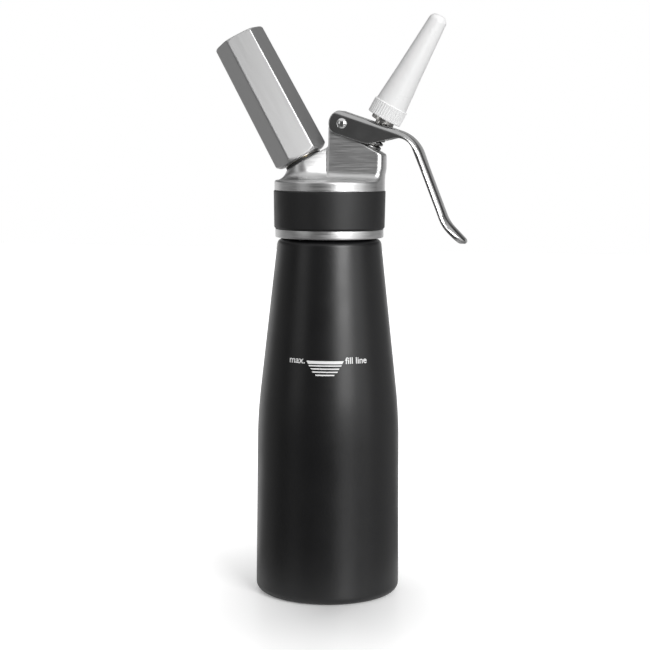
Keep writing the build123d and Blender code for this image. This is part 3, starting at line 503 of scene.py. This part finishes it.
words = bmesh.new()
addWord(words, fillMarks["leftWord"], fillMarks["leftSize"], None, fillMarks["leftEnd"])
addWord(words, fillMarks["rightWord"], fillMarks["rightSize"], fillMarks["rightStart"], None)
addPiece("fillWords", wrapped(words), upright, "bottle", whitePrint)


# Head

print("head")

gripShape = dict(
    low=227.02, high=250.48, seat=31.92, radius=34.1, flare=0.4, seatRounding=0.2,
    lowRounding=1.6, topRounding=0.6, segments=160,
)


def gripPath():
    grip = gripShape
    return roundedPath([
        (grip["seat"], grip["low"], grip["seatRounding"]),
        (grip["radius"], grip["low"], grip["lowRounding"]),
        (grip["radius"] + grip["flare"], grip["high"], grip["topRounding"]),
        (grip["seat"], grip["high"], grip["seatRounding"]),
    ], steps=8)


addPiece(
    "gripSleeve", turnedMesh(gripPath(), gripShape["segments"]), upright,
    "head", gripRubber, ("grip_band",),
)

headShape = dict(
    # the core in the grip band, and the collar with its low cone
    low=249.0, seatRadius=31.9, bandTop=250.5, bandEdge=0.3, coreLap=2.0,
    collarRadius=34.0, collarTop=256.7, collarRounding=1.2, crownRise=1.8,
    # the fin from the side: its heel, its lug and its straight face
    finLeft=0.5, finFoot=240.0, heel=(2.5, 288.8), heelRadius=2.0, lugRadius=4.3, topAngle=130.0,
    rightAngle=16.5, faceStart=(16.435, 282.548), faceEnd=(59.6, 258.77), stepRounding=2.5,
    # the fin's tapering sides, and its end, which swells past the collar
    finHalf=8.15, finTop=295.8, draft=3.0, finEnd=1.3, endFrom=257.0, endTo=265.0, edge=1.1, endEdge=3.2,
    # the charger's boss, and the fillets
    bossFoot=(-13.5, 250.5), bossRadii=(15.6, 12.3), tailRadius=8.6, tailReach=16.5, bossFace=33.7,
    bossEdge=1.0, finFillet=5.0, bossFillet=5.5, filletSpan=(-4, 4), webFillet=1.2,
    # the bar round the pin, and the holes
    barRadius=4.0, barHalf=9.2, barEdge=0.5, barFillet=0.6, pinHole=2.02, mouthEdge=0.3,
    box=((-36.5, -36.5, 247.5), (37.5, 36.5, 298.0)), step=0.5,
)
pivot = (9.3, 291.5)                           # the lever's pin, seen from the side
boresEnd = 60.0
valveBores = [                                 # radius and place along the axis
    (0, 0), (8.0, 0), (8.0, 24.04), (6.0, 24.04), (6.0, 29.0), (4.55, 29.0), (4.55, 42.0), (6.62, 42.0),
    (6.62, boresEnd), (0, boresEnd),
]
chargingBores = [(0, 0), (4.4, 0), (4.4, 19.0), (6.5, 19.0), (6.5, boresEnd), (0, boresEnd)]


def bossField(points):                         # from its foot to its tilted face, with a tail on the right
    head = headShape
    x, y, z = points.T
    along = -x * math.sin(lean) + (z - chargerHeight) * math.cos(lean)
    rise, drop = z - head["bossFoot"][1], head["bossFace"] - along
    share = np.clip(rise / np.maximum(rise + drop, 0.01), 0, 1)
    topX = -head["bossFace"] * math.sin(lean)
    topZ = chargerHeight + head["bossFace"] * math.cos(lean)
    fromX = x - head["bossFoot"][0] - share * (topX - head["bossFoot"][0])
    fromZ = z - head["bossFoot"][1] - share * (topZ - head["bossFoot"][1])
    dirX, dirZ = 1 + share * (math.cos(lean) - 1), share * math.sin(lean)
    out = (fromX * dirX + fromZ * dirZ) / np.hypot(dirX, dirZ)
    radius = head["bossRadii"][0] + share * (head["bossRadii"][1] - head["bossRadii"][0])
    tilt = (radius - head["tailRadius"]) / head["tailReach"]
    flank = np.sqrt(1 - tilt ** 2)
    across = np.abs(y)
    side = flank * out - tilt * across
    onTail = np.where(
        side > flank * head["tailReach"], np.hypot(across, out - head["tailReach"]) - head["tailRadius"],
        flank * across + tilt * out - radius,
    )
    return trimmed(np.where(side < 0, np.hypot(across, out) - radius, onTail), -drop, head["bossEdge"])


def finPath():
    head = headShape
    top = arcPath(head["heel"], head["heelRadius"], 180, head["topAngle"])
    top += arcPath(pivot, head["lugRadius"], head["topAngle"], head["rightAngle"])
    slope = roundedPath([
        (*top[-1], 0), (*head["faceStart"], head["stepRounding"]), (*head["faceEnd"], 0),
    ], steps=6)[1:]
    foot = head["finFoot"]
    return [Vector((head["finLeft"], foot))] + top + slope + [Vector((head["faceEnd"][0], foot))]


finSide = finPath()


def headField(points):
    head = headShape
    x, y, z = points.T
    away = np.hypot(x, y)
    fromPin = np.hypot(x - pivot[0], z - pivot[1])
    draft = math.radians(head["draft"])
    crown = z - head["collarTop"] - head["crownRise"] * (1 - away / head["collarRadius"])
    half = head["finHalf"] + (head["finTop"] - z) * math.tan(draft)
    grown = np.clip((z - head["endFrom"]) / (head["endTo"] - head["endFrom"]), 0, 1)
    limit = away - head["collarRadius"] - head["finEnd"] * grown * grown * (3 - 2 * grown)
    post = trimmed((np.abs(y) - half) * math.cos(draft), limit, head["endEdge"])
    web = trimmed(pathDistance(finSide, x, z), post, head["edge"])
    fillet = np.interp(x, head["filletSpan"], (head["bossFillet"], head["finFillet"]))
    solid = joined(crown, joined(bossField(points), web, head["webFillet"]), fillet)
    solid = trimmed(solid, limit, head["collarRounding"])
    bar = trimmed(fromPin - head["barRadius"], np.abs(y) - head["barHalf"], head["barEdge"])
    solid = joined(solid, bar, head["barFillet"])
    solid = trimmed(solid, head["bandTop"] - z, head["bandEdge"])
    core = np.maximum(away - head["seatRadius"], head["low"] - z)
    solid = np.minimum(solid, np.maximum(core, z - head["bandTop"] - head["coreLap"]))
    for path, height, turn in ((valveBores, valveHeight, lean), (chargingBores, chargerHeight, -lean)):
        solid = trimmed(solid, -pathDistance(path, *alongAxis(points, height, turn)), head["mouthEdge"])
    return trimmed(solid, head["pinHole"] - fromPin, head["mouthEdge"])


ringShape = dict(
    bore=28.8, low=221.8, radius=33.4, rounding=0.8, seatLow=227.0, seat=31.85, top=250.0,
    mouth=24.5, gasketTop=245.2, stepRounding=0.2, boreRounding=0.3, segments=160,
)


def ringPath():                                # the skirt, with the bottle's thread inside
    skirt = ringShape
    return roundedPath([
        (skirt["radius"], skirt["low"], skirt["rounding"]),
        (skirt["radius"], skirt["seatLow"], skirt["stepRounding"]),
        (skirt["seat"], skirt["seatLow"], 0), (skirt["seat"], skirt["top"], 0),
        (skirt["mouth"], skirt["top"], 0), (skirt["mouth"], skirt["gasketTop"], skirt["stepRounding"]),
        (skirt["bore"], skirt["gasketTop"], 0), *reversed(threadCorners(skirt["bore"])),
        (skirt["bore"], skirt["low"], skirt["boreRounding"]),
    ], steps=8)


ring = turnedMesh(ringPath(), ringShape["segments"])
ringMesh = bpy.data.meshes.new("ring")
ring.to_mesh(ringMesh)
ring.free()
casting = meshedField(headField, *headShape["box"], headShape["step"])
casting.from_mesh(ringMesh)
bpy.data.meshes.remove(ringMesh)
addPiece(
    "castHead", casting, upright, "head", castMetal, ("head_casting",),
    sharp=60, field=headField,
)

pinShape = dict(neck=11.15, end=12.85, radius=3.1, shank=2.0, dome=1.35, segments=48)


def pinPath():                                 # one domed end, and its mirror image
    pin = pinShape
    bulge = (pin["radius"] ** 2 + pin["dome"] ** 2) / (2 * pin["dome"])
    spread = math.degrees(math.asin(pin["radius"] / bulge))
    path = arcPath((0, pin["end"] - bulge), bulge, 90, 90 - spread)
    path += [Vector((pin["radius"], pin["neck"])), Vector((pin["shank"], pin["neck"]))]
    return path + [Vector((x, -z)) for x, z in reversed(path)]


addPiece(
    "domedPin", turnedMesh(pinPath(), pinShape["segments"], closed=False),
    Matrix.Translation((pivot[0], 0, pivot[1])) @ Matrix.Rotation(math.pi / 2, 4, "X"),
    "head", pinSteel, ("pivot_pin",), sharp=35,
)

plainNodes = {                                 # these keep their own mesh
    "head_gasket": sealRubber, "valve_stem": stemSteel, "poppet_seal": sealRubber,
    "stem_o_ring": sealRubber, "stem_bush": guidePlastic, "spring_washer": stemSteel,
    "nozzle_connector": stemSteel, "charging_valve": valveBrass, "piercing_pin": stemSteel,
    "charger_seal": sealRubber, "check_sleeve": sealRubber, "boss_gasket": sealRubber,
    "gas_charger": chargerSteel, "holder_liner": stemSteel,
}
for nodeName, look in plainNodes.items():
    node = nodes[nodeName]
    node.data.materials.clear()
    node.data.materials.append(look)


# Lever

print("lever")

leverShape = dict(
    # the arm: its ridge and low edge, measured from the pin, and its round end
    top=6.9, bottom=7.2, endRadius=8.3, lowX=24.6, lowRounding=14.0, rootDrop=6.9, rootRounding=10.0,
    # the handle's ridge, down to the tab
    bendX=54.4, bendRadius=24.0, tabBend=(74.5, 232.6), tabRadius=22.0, tabEnd=(85.2, 221.6), depth=4.6,
    # half of each width, and the heights between which it changes
    half=11.0, handleHalf=9.0, tabHalf=10.5, narrows=(277.0, 262.0), widens=(238.0, 228.0), tabRounding=7.0,
    # the sheet, its folds by height, its slightly domed back and its edges
    sheet=1.5, foldHeights=(221.0, 236.0, 262.0, 284.0), folds=(2.2, 3.4, 3.4, 3.4), leastFold=0.5,
    crown=0.8, crownHeights=(264.0, 284.0), edge=0.72, reach=85.15,
    # the window for the valve, and the pin's holes
    window=6.0, windowSpan=(61, 75), windowEdge=0.3, pinHole=2.05, pinEdge=0.2,
    box=((-1, -11.8, 216.5), (88, 11.8, 302)), step=0.38,
)
clear = dict(left=-100, low=100, high=340, aside=40, byPin=2)    # where its outlines close, well away from it


def onLever(along, above):                     # a place on the straight arm, from the pin
    return (
        pivot[0] + along * math.cos(armSlope) + above * math.sin(armSlope),
        pivot[1] - along * math.sin(armSlope) + above * math.cos(armSlope),
    )


def leverAt(x, above):
    return onLever((x - pivot[0] - above * math.sin(armSlope)) / math.cos(armSlope), above)


def overPath(ridge):                           # all that lies under the ridge, from the arm to the tab
    lever = leverShape
    bend, tabBend, tabEnd = ridge[1:]
    beyond = Vector(tabEnd) + (Vector(tabEnd) - Vector(tabBend)) * 2
    return roundedPath([
        (*ridge[0], 0), (*bend, lever["bendRadius"]), (*tabBend, lever["tabRadius"]), (*beyond, 0),
        (beyond.x, clear["low"], 0), (clear["left"], clear["low"], 0),
    ], steps=16)


def wallPath(ridge):                           # all that lies over the low edge of the side walls
    lever = leverShape
    under = movedAside(ridge, lever["depth"])
    drop = pivot[1] - lever["rootDrop"]
    share = (drop - under[2].y) / (under[1].y - under[2].y)
    root = under[2] + (under[1] - under[2]) * share
    below = under[3] + (under[3] - under[2]) * 2
    low = leverAt(lever["lowX"], -lever["bottom"])
    fall = math.degrees(armSlope)
    back = math.degrees(math.asin(lever["bottom"] / lever["endRadius"])) + 180 - fall
    wall = roundedPath([
        (*below, 0), (*under[2], lever["tabRadius"] + lever["depth"]), (*root, lever["rootRounding"]),
        (*low, lever["lowRounding"]), (*onLever(0, -lever["bottom"]), 0),
    ], steps=12)
    wall += arcPath(pivot, lever["endRadius"], back, 90 - fall, 16)
    farRight = below.x + clear["aside"]
    wall += [Vector((pivot[0] + clear["byPin"], clear["high"])), Vector((farRight, clear["high"]))]
    return wall + [Vector((farRight, below.y))]


def widthPath():                               # seen from the end: arm, handle and tab
    lever = leverShape
    bend = lever["tabRadius"]
    low = lever["tabEnd"][1] - lever["depth"] / 2
    right = [
        (lever["half"], clear["high"], 0), (lever["half"], lever["narrows"][0], bend),
        (lever["handleHalf"], lever["narrows"][1], bend), (lever["handleHalf"], lever["widens"][0], bend),
        (lever["tabHalf"], lever["widens"][1], lever["tabRounding"]),
        (lever["tabHalf"], low, lever["tabRounding"]),
    ]
    return roundedPath(right + [(-y, z, radius) for y, z, radius in reversed(right)], steps=10)


leverRidge = [
    onLever(-2 * leverShape["endRadius"], leverShape["top"]), leverAt(leverShape["bendX"], leverShape["top"]),
    leverShape["tabBend"], leverShape["tabEnd"],
]
leverOver, leverWall, leverWidth = overPath(leverRidge), wallPath(leverRidge), widthPath()


def leverField(points):                        # a bent sheet, open below
    lever = leverShape
    x, y, z = points.T
    sheet, edge = lever["sheet"], lever["edge"]
    fold = np.interp(z, lever["foldHeights"], lever["folds"])
    domed = 1 - np.interp(z, lever["crownHeights"], (0, 1))
    over = pathDistance(leverOver, x, z) + lever["crown"] * (y / lever["handleHalf"]) ** 2 * domed
    width = pathDistance(leverWidth, y, z)
    hollow = trimmed(over + sheet, width + sheet, np.maximum(fold - sheet, lever["leastFold"]))
    solid = trimmed(trimmed(over, width, fold), -hollow, edge)
    solid = trimmed(solid, pathDistance(leverWall, x, z), edge)
    solid = trimmed(solid, x - lever["reach"], edge)
    away, along = alongAxis(points, valveHeight, lean)
    low, high = lever["windowSpan"]
    window = np.maximum(away - lever["window"], np.maximum(low - along, along - high))
    solid = trimmed(solid, -window, lever["windowEdge"])
    return trimmed(solid, lever["pinHole"] - np.hypot(x - pivot[0], z - pivot[1]), lever["pinEdge"])


addPiece(
    "pressedLever", meshedField(leverField, *leverShape["box"], leverShape["step"]), upright,
    "lever", leverSteel, ("lever_arm",), sharp=75, field=leverField,
)


# Holder

print("holder")

holderShape = dict(
    rim=35.9, end=119.9, mouthFlats=30.1, endFlats=28.2, turn=13.5, corner=1.2, chamfer=38.0,
    mouthFace=14.6, endFace=15.0, bore=11.32, boreEnd=113.44, edge=0.6,
    box=((-18.5, -18.5, 34.5), (18.5, 18.5, 121.5)), step=0.5,
)


def hexPath():                                 # the six sides at the mouth
    holder = holderShape
    reach = holder["mouthFlats"] / 2 / math.cos(math.radians(30))
    turns = [math.radians(holder["turn"] + 60 * side - 60) for side in range(6)]
    corners = [(reach * math.cos(turn), reach * math.sin(turn), holder["corner"]) for turn in turns]
    return roundedPath(corners, steps=6)


holderMouth = hexPath()


def holderField(points):
    holder = holderShape
    x, y, z = points.T
    share = (z - holder["rim"]) / (holder["end"] - holder["rim"])
    shrunk = 1 - share * (1 - holder["endFlats"] / holder["mouthFlats"])
    solid = pathDistance(holderMouth, x / shrunk, y / shrunk) * shrunk
    away = np.hypot(x, y)
    slope = math.radians(holder["chamfer"])
    mouthCone = (holder["rim"] - z + (away - holder["mouthFace"]) * math.tan(slope)) * math.cos(slope)
    endCone = (z - holder["end"] + (away - holder["endFace"]) * math.tan(slope)) * math.cos(slope)
    for cut in (holder["rim"] - z, z - holder["end"], mouthCone, endCone):
        solid = trimmed(solid, cut, holder["edge"])
    return trimmed(solid, -np.maximum(away - holder["bore"], z - holder["boreEnd"]), holder["edge"])


addPiece(
    "hexHolder", meshedField(holderField, *holderShape["box"], holderShape["step"]), chargerFrame,
    "holder", holderMetal, ("charger_holder",), sharp=75, field=holderField,
)


# Spring

print("spring")

springShape = dict(
    low=50.4, high=61.0, radius=6.9, wire=0.7, turns=5.0, closed=0.75, gap=0.02, endLift=0.25,
    thinned=0.97, ringSteps=10, steps=40,
)


def coilMesh():                                # the end turns lie closed and the turns between are free
    spring = springShape
    wire, closed, turns = spring["wire"], spring["closed"], spring["turns"]
    start = spring["low"] + wire + spring["gap"]
    climb = spring["high"] - spring["low"] - 2 * wire - 2 * spring["gap"]
    coil = bmesh.new()
    rings = []
    for step in range(int(turns * spring["steps"]) + 1):
        turn = step / spring["steps"]
        free = min(max((turn - closed) / (turns - 2 * closed), 0), 1)
        ends = min(turn / closed, 1) - min((turns - turn) / closed, 1)
        height = start + climb * free + spring["endLift"] * wire * ends
        angle = 2 * math.pi * turn
        out = Vector((math.cos(angle), math.sin(angle), 0))
        centre = out * spring["radius"] + Vector((0, 0, height))
        ring = []
        for side in range(spring["ringSteps"]):
            around = 2 * math.pi * side / spring["ringSteps"]
            edge = out * math.cos(around) + Vector((0, 0, math.sin(around)))
            ring.append(coil.verts.new(centre + edge * wire * spring["thinned"]))
        rings.append(ring)
    for first, second in zip(rings, rings[1:]):
        for side in range(spring["ringSteps"]):
            after = (side + 1) % spring["ringSteps"]
            coil.faces.new((first[side], first[after], second[after], second[side]))
    coil.faces.new(rings[0])
    coil.faces.new(rings[-1])
    return coil


coilPiece = addPiece(
    "coilSpring", coilMesh(), valveFrame, "head", springSteel, ("valve_spring",),
)
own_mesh(coilPiece)


# Nozzle

print("nozzle")

nozzleShape = dict(
    base=69.2, baseRounding=0.3, collarRadius=10.5, collarHeight=9.4, collarRounding=0.6, collarEdge=0.35,
    rootRadius=10.0, rootRounding=0.2, waistRadius=8.15, waistHeight=100.5, waistBlend=60.0,
    tipRadius=5.45, tip=139.5, tipRounding=4.2, mouth=1.2, mouthRounding=0.1, lip=1.5, lipRounding=0.5,
    wall=1.4, insideBlend=20.0, socket=6.9, socketRounding=0.5,
    ribs=40, ribHeight=0.34, ribMargin=0.3, stepsBetweenRibs=8,
)


def nozzleMesh():
    nozzle = nozzleShape
    collarTop = nozzle["base"] + nozzle["collarHeight"]
    cone = turnedMesh(roundedPath([
        (nozzle["socket"], nozzle["base"], nozzle["baseRounding"]),
        (nozzle["collarRadius"], nozzle["base"], nozzle["collarRounding"]),
        (nozzle["collarRadius"], collarTop, nozzle["collarEdge"]),
        (nozzle["rootRadius"], collarTop, nozzle["rootRounding"]),
        (nozzle["waistRadius"], nozzle["waistHeight"], nozzle["waistBlend"]),
        (nozzle["tipRadius"], nozzle["tip"], nozzle["tipRounding"]),
        (nozzle["mouth"], nozzle["tip"], nozzle["mouthRounding"]),
        (nozzle["mouth"], nozzle["tip"] - nozzle["lip"], nozzle["lipRounding"]),
        (nozzle["waistRadius"] - nozzle["wall"], nozzle["waistHeight"], nozzle["insideBlend"]),
        (nozzle["socket"], collarTop, nozzle["socketRounding"]),
    ], steps=10), nozzle["ribs"] * nozzle["stepsBetweenRibs"])
    for vert in cone.verts:                    # the collar's wall swells into ribs
        away = math.hypot(vert.co.x, vert.co.y)
        if away > nozzle["collarRadius"] - nozzle["ribMargin"] and vert.co.z < collarTop:
            wave = 0.5 + 0.5 * math.cos(nozzle["ribs"] * math.atan2(vert.co.y, vert.co.x))
            grown = (away + nozzle["ribHeight"] * wave ** 2) / away
            vert.co.x *= grown
            vert.co.y *= grown
    return cone


addPiece(
    "nozzleCone", nozzleMesh(), valveFrame, "nozzle", nozzlePlastic,
    ("decorator_nozzle",), sharp=60,
)


# Floor, light and camera

print("studio")

# Lengths are metres from here on, and azimuths are degrees from straight in front
floorSettings = dict(
    size=3.0, color=0.9, rough=0.3, nearLift=0.02, farLift=0.6,
    # shade, shadeSpans and shadeTurn place the floor's painted shadow, an ellipse of low lift before the
    # object
    shade=(0.0095, -0.0491), shadeSpans=(0.12, 0.2), shadeTurn=11.0, farShare=1.4,
    sheetFrom=0.055, sheetTo=0.13, mirrored=0.8,
)

# A mirrored room: white behind the object, grey at its sides and dim in front
room = dict(
    white=1.0, fill=0.42, backFill=0.95, fillEnd=0.9, dim=0.09, wallTop=(0.08, 0.30),
    ceiling=dict(start=0.42, end=0.8, level=0.85),
    walls=dict(
        back=dict(azimuth=200, start=0.5, end=0.9, level=1.0),
        right=dict(azimuth=95, start=0.35, end=0.85, level=0.42),
        left=dict(azimuth=-103, start=0.8, end=0.97, level=0.33),
    ),
)

lights = dict(
    key=dict(azimuth=40, elevation=20, distance=1.4, width=0.62, height=0.8, power=17.5),
    rightBank=dict(azimuth=72, elevation=12, distance=1.5, width=0.6, height=0.9, power=1.9),
    leftBank=dict(azimuth=-45, elevation=15, distance=1.5, width=0.6, height=0.9, power=1.6),
)
lightTarget = Vector((0, 0, 0.2))

view = dict(
    azimuth=11.0, distance=1.02, height=0.285, pitch=6.6, roll=0.33, side=-0.0024,
    sensor=36, focal=1650 / 650,               # focal length as a share of the sensor's width
)


def towardsAzimuth(azimuth, elevation=0):
    turn, rise = math.radians(azimuth), math.radians(elevation)
    return Vector((math.sin(turn) * math.cos(rise), -math.cos(turn) * math.cos(rise), math.sin(rise)))


def mathNode(tree, operation, first, second):
    node = tree.nodes.new("ShaderNodeMath")
    node.operation = operation
    for socket, value in zip(node.inputs, (first, second)):
        if isinstance(value, (int, float)):
            socket.default_value = value
        else:
            tree.links.new(value, socket)
    return node.outputs["Value"]


def vectorNode(tree, operation, vector):
    node = tree.nodes.new("ShaderNodeVectorMath")
    node.operation = operation
    tree.links.new(vector, node.inputs[0])
    return node


def stepped(tree, value, start, end, low, high):
    remap = tree.nodes.new("ShaderNodeMapRange")
    remap.interpolation_type = "SMOOTHSTEP"
    for name, amount in (("From Min", start), ("From Max", end), ("To Min", low), ("To Max", high)):
        remap.inputs[name].default_value = amount
    tree.links.new(value, remap.inputs["Value"])
    return remap.outputs["Result"]


def whiteRays(tree):                           # the rays that are shown the white background
    rays = tree.nodes.new("ShaderNodeLightPath")
    mirrored = mathNode(tree, "MAXIMUM", rays.outputs["Is Glossy Ray"], rays.outputs["Is Transmission Ray"])
    return rays.outputs["Is Camera Ray"], mirrored


def wallDot(tree, unit, azimuth):              # how far a direction points at a wall
    towards = vectorNode(tree, "DOT_PRODUCT", unit)
    towards.inputs[1].default_value = towardsAzimuth(azimuth)
    return towards.outputs["Value"]


def roomLevel(tree, vector):                   # how bright the room is in a direction
    unit = vectorNode(tree, "NORMALIZE", vector).outputs["Vector"]
    parts = tree.nodes.new("ShaderNodeSeparateXYZ")
    tree.links.new(unit, parts.inputs[0])
    below = stepped(tree, parts.outputs["Z"], *room["wallTop"], 1, 0)
    level = room["dim"]
    for wall in room["walls"].values():
        towards = wallDot(tree, unit, wall["azimuth"])
        share = stepped(tree, towards, wall["start"], wall["end"], room["dim"], wall["level"])
        level = mathNode(tree, "MAXIMUM", level, mathNode(tree, "MULTIPLY", share, below))
    top = room["ceiling"]
    above = stepped(tree, parts.outputs["Z"], top["start"], top["end"], room["dim"], top["level"])
    return mathNode(tree, "MAXIMUM", level, above)


def floorShade(tree, coords):                  # painted shadow: the floor's lift stays low in an ellipse before the object, so the floor is left dim only there
    shade = tree.nodes.new("ShaderNodeMapping")
    shade.vector_type = "TEXTURE"
    shade.inputs["Location"].default_value = (*floorSettings["shade"], 0)
    shade.inputs["Rotation"].default_value = (0, 0, math.radians(floorSettings["shadeTurn"]))
    shade.inputs["Scale"].default_value = (*floorSettings["shadeSpans"], 1)
    tree.links.new(coords, shade.inputs["Vector"])
    away = vectorNode(tree, "LENGTH", shade.outputs["Vector"]).outputs["Value"]
    share = mathNode(tree, "MINIMUM", away, floorSettings["farShare"])
    level = mathNode(tree, "MULTIPLY", share, floorSettings["farLift"] - floorSettings["nearLift"])
    return mathNode(tree, "ADD", level, floorSettings["nearLift"])


def makeFloorLook():                           # past a small white sheet, metal mirrors the room instead
    look = newLook("floorLook", (floorSettings["color"],) * 3, floorSettings["rough"])
    varyRoughness(look, grainNoise(look, 20), 0.28, 0.32)
    tree = look.node_tree
    shader = tree.nodes["Principled BSDF"]
    coords = tree.nodes.new("ShaderNodeTexCoord").outputs["Object"]
    away = vectorNode(tree, "LENGTH", coords).outputs["Value"]
    seenRays, mirroredRays = whiteRays(tree)
    sheet = stepped(tree, away, floorSettings["sheetFrom"], floorSettings["sheetTo"], 1, 0)
    lit = mathNode(tree, "MAXIMUM", sheet, seenRays)
    tint = tree.nodes.new("ShaderNodeCombineColor")
    for socket in tint.inputs:
        tree.links.new(mathNode(tree, "MULTIPLY", lit, floorSettings["color"]), socket)
    tree.links.new(tint.outputs["Color"], shader.inputs["Base Color"])
    beyond = mathNode(tree, "MULTIPLY", mathNode(tree, "SUBTRACT", 1, sheet), mirroredRays)
    mirrored = mathNode(tree, "MULTIPLY", roomLevel(tree, coords), floorSettings["mirrored"])
    # for camera rays the lift carries the painted shadow from floorShade
    lift = mathNode(
        tree, "ADD", mathNode(tree, "MULTIPLY", floorShade(tree, coords), seenRays),
        mathNode(tree, "MULTIPLY", beyond, mirrored),
    )
    shader.inputs["Emission Color"].default_value = (1, 1, 1, 1)
    tree.links.new(lift, shader.inputs["Emission Strength"])
    return look


def makeWorld():                               # white to the eye, the room in mirrors and a soft fill
    world = bpy.data.worlds.new("studio")
    world.use_nodes = True
    tree = world.node_tree
    tree.nodes.clear()
    direction = tree.nodes.new("ShaderNodeTexCoord").outputs["Generated"]
    seenRays, mirroredRays = whiteRays(tree)
    levels = tree.nodes.new("ShaderNodeMix")
    behind = wallDot(tree, direction, room["walls"]["back"]["azimuth"])
    fill = stepped(tree, behind, 0, room["fillEnd"], room["fill"], room["backFill"])
    tree.links.new(fill, levels.inputs["A"])
    tree.links.new(mirroredRays, levels.inputs["Factor"])
    tree.links.new(roomLevel(tree, direction), levels.inputs["B"])
    skyLevel = tree.nodes.new("ShaderNodeMix")
    skyLevel.inputs["B"].default_value = room["white"]
    tree.links.new(seenRays, skyLevel.inputs["Factor"])
    tree.links.new(levels.outputs["Result"], skyLevel.inputs["A"])
    sky = tree.nodes.new("ShaderNodeBackground")
    sky.inputs["Color"].default_value = (1, 1, 1, 1)
    output = tree.nodes.new("ShaderNodeOutputWorld")
    tree.links.new(skyLevel.outputs["Result"], sky.inputs["Strength"])
    tree.links.new(sky.outputs["Background"], output.inputs["Surface"])
    return world


def standing(position, side, lift, away):      # where a lamp or a camera stands, and its three axes
    return Matrix.Translation(position) @ Matrix((side, lift, away)).transposed().to_4x4()


def addLight(name, azimuth, elevation, distance, width, height, power):
    away = towardsAzimuth(azimuth, elevation)
    side = Vector((0, 0, 1)).cross(away).normalized()
    data = bpy.data.lights.new(name, "AREA")
    data.shape = "RECTANGLE"
    data.size = width
    data.size_y = height
    data.energy = power
    light = bpy.data.objects.new(name, data)
    light.matrix_world = standing(lightTarget + away * distance, side, away.cross(side), away)
    scene.collection.objects.link(light)


def addCamera():
    pitch, roll = math.radians(view["pitch"]), math.radians(view["roll"])
    away = towardsAzimuth(view["azimuth"])
    side = towardsAzimuth(view["azimuth"] + 90)
    ahead = -away * math.cos(pitch) - Vector((0, 0, math.sin(pitch)))
    lift = side.cross(ahead)
    rolledSide = side * math.cos(roll) + lift * math.sin(roll)
    rolledLift = lift * math.cos(roll) - side * math.sin(roll)
    position = away * view["distance"] + side * view["side"] + Vector((0, 0, view["height"]))
    data = bpy.data.cameras.new("camera")
    data.sensor_width = view["sensor"]
    data.lens = view["focal"] * view["sensor"]
    data.clip_end = 20
    camera = bpy.data.objects.new("camera", data)
    camera.matrix_world = standing(position, rolledSide, rolledLift, -ahead)
    scene.collection.objects.link(camera)
    return camera


reach = floorSettings["size"]
floorMesh = bpy.data.meshes.new("floor")
floorCorners = [(-reach, -reach, 0), (reach, -reach, 0), (reach, reach, 0), (-reach, reach, 0)]
floorMesh.from_pydata(floorCorners, [], [(0, 1, 2, 3)])
floorMesh.materials.append(makeFloorLook())
floor = bpy.data.objects.new("floor", floorMesh)
scene.collection.objects.link(floor)

for name, settings in lights.items():
    addLight(name, **settings)
scene.world = makeWorld()
scene.camera = addCamera()
scene.view_settings.view_transform = "Standard"
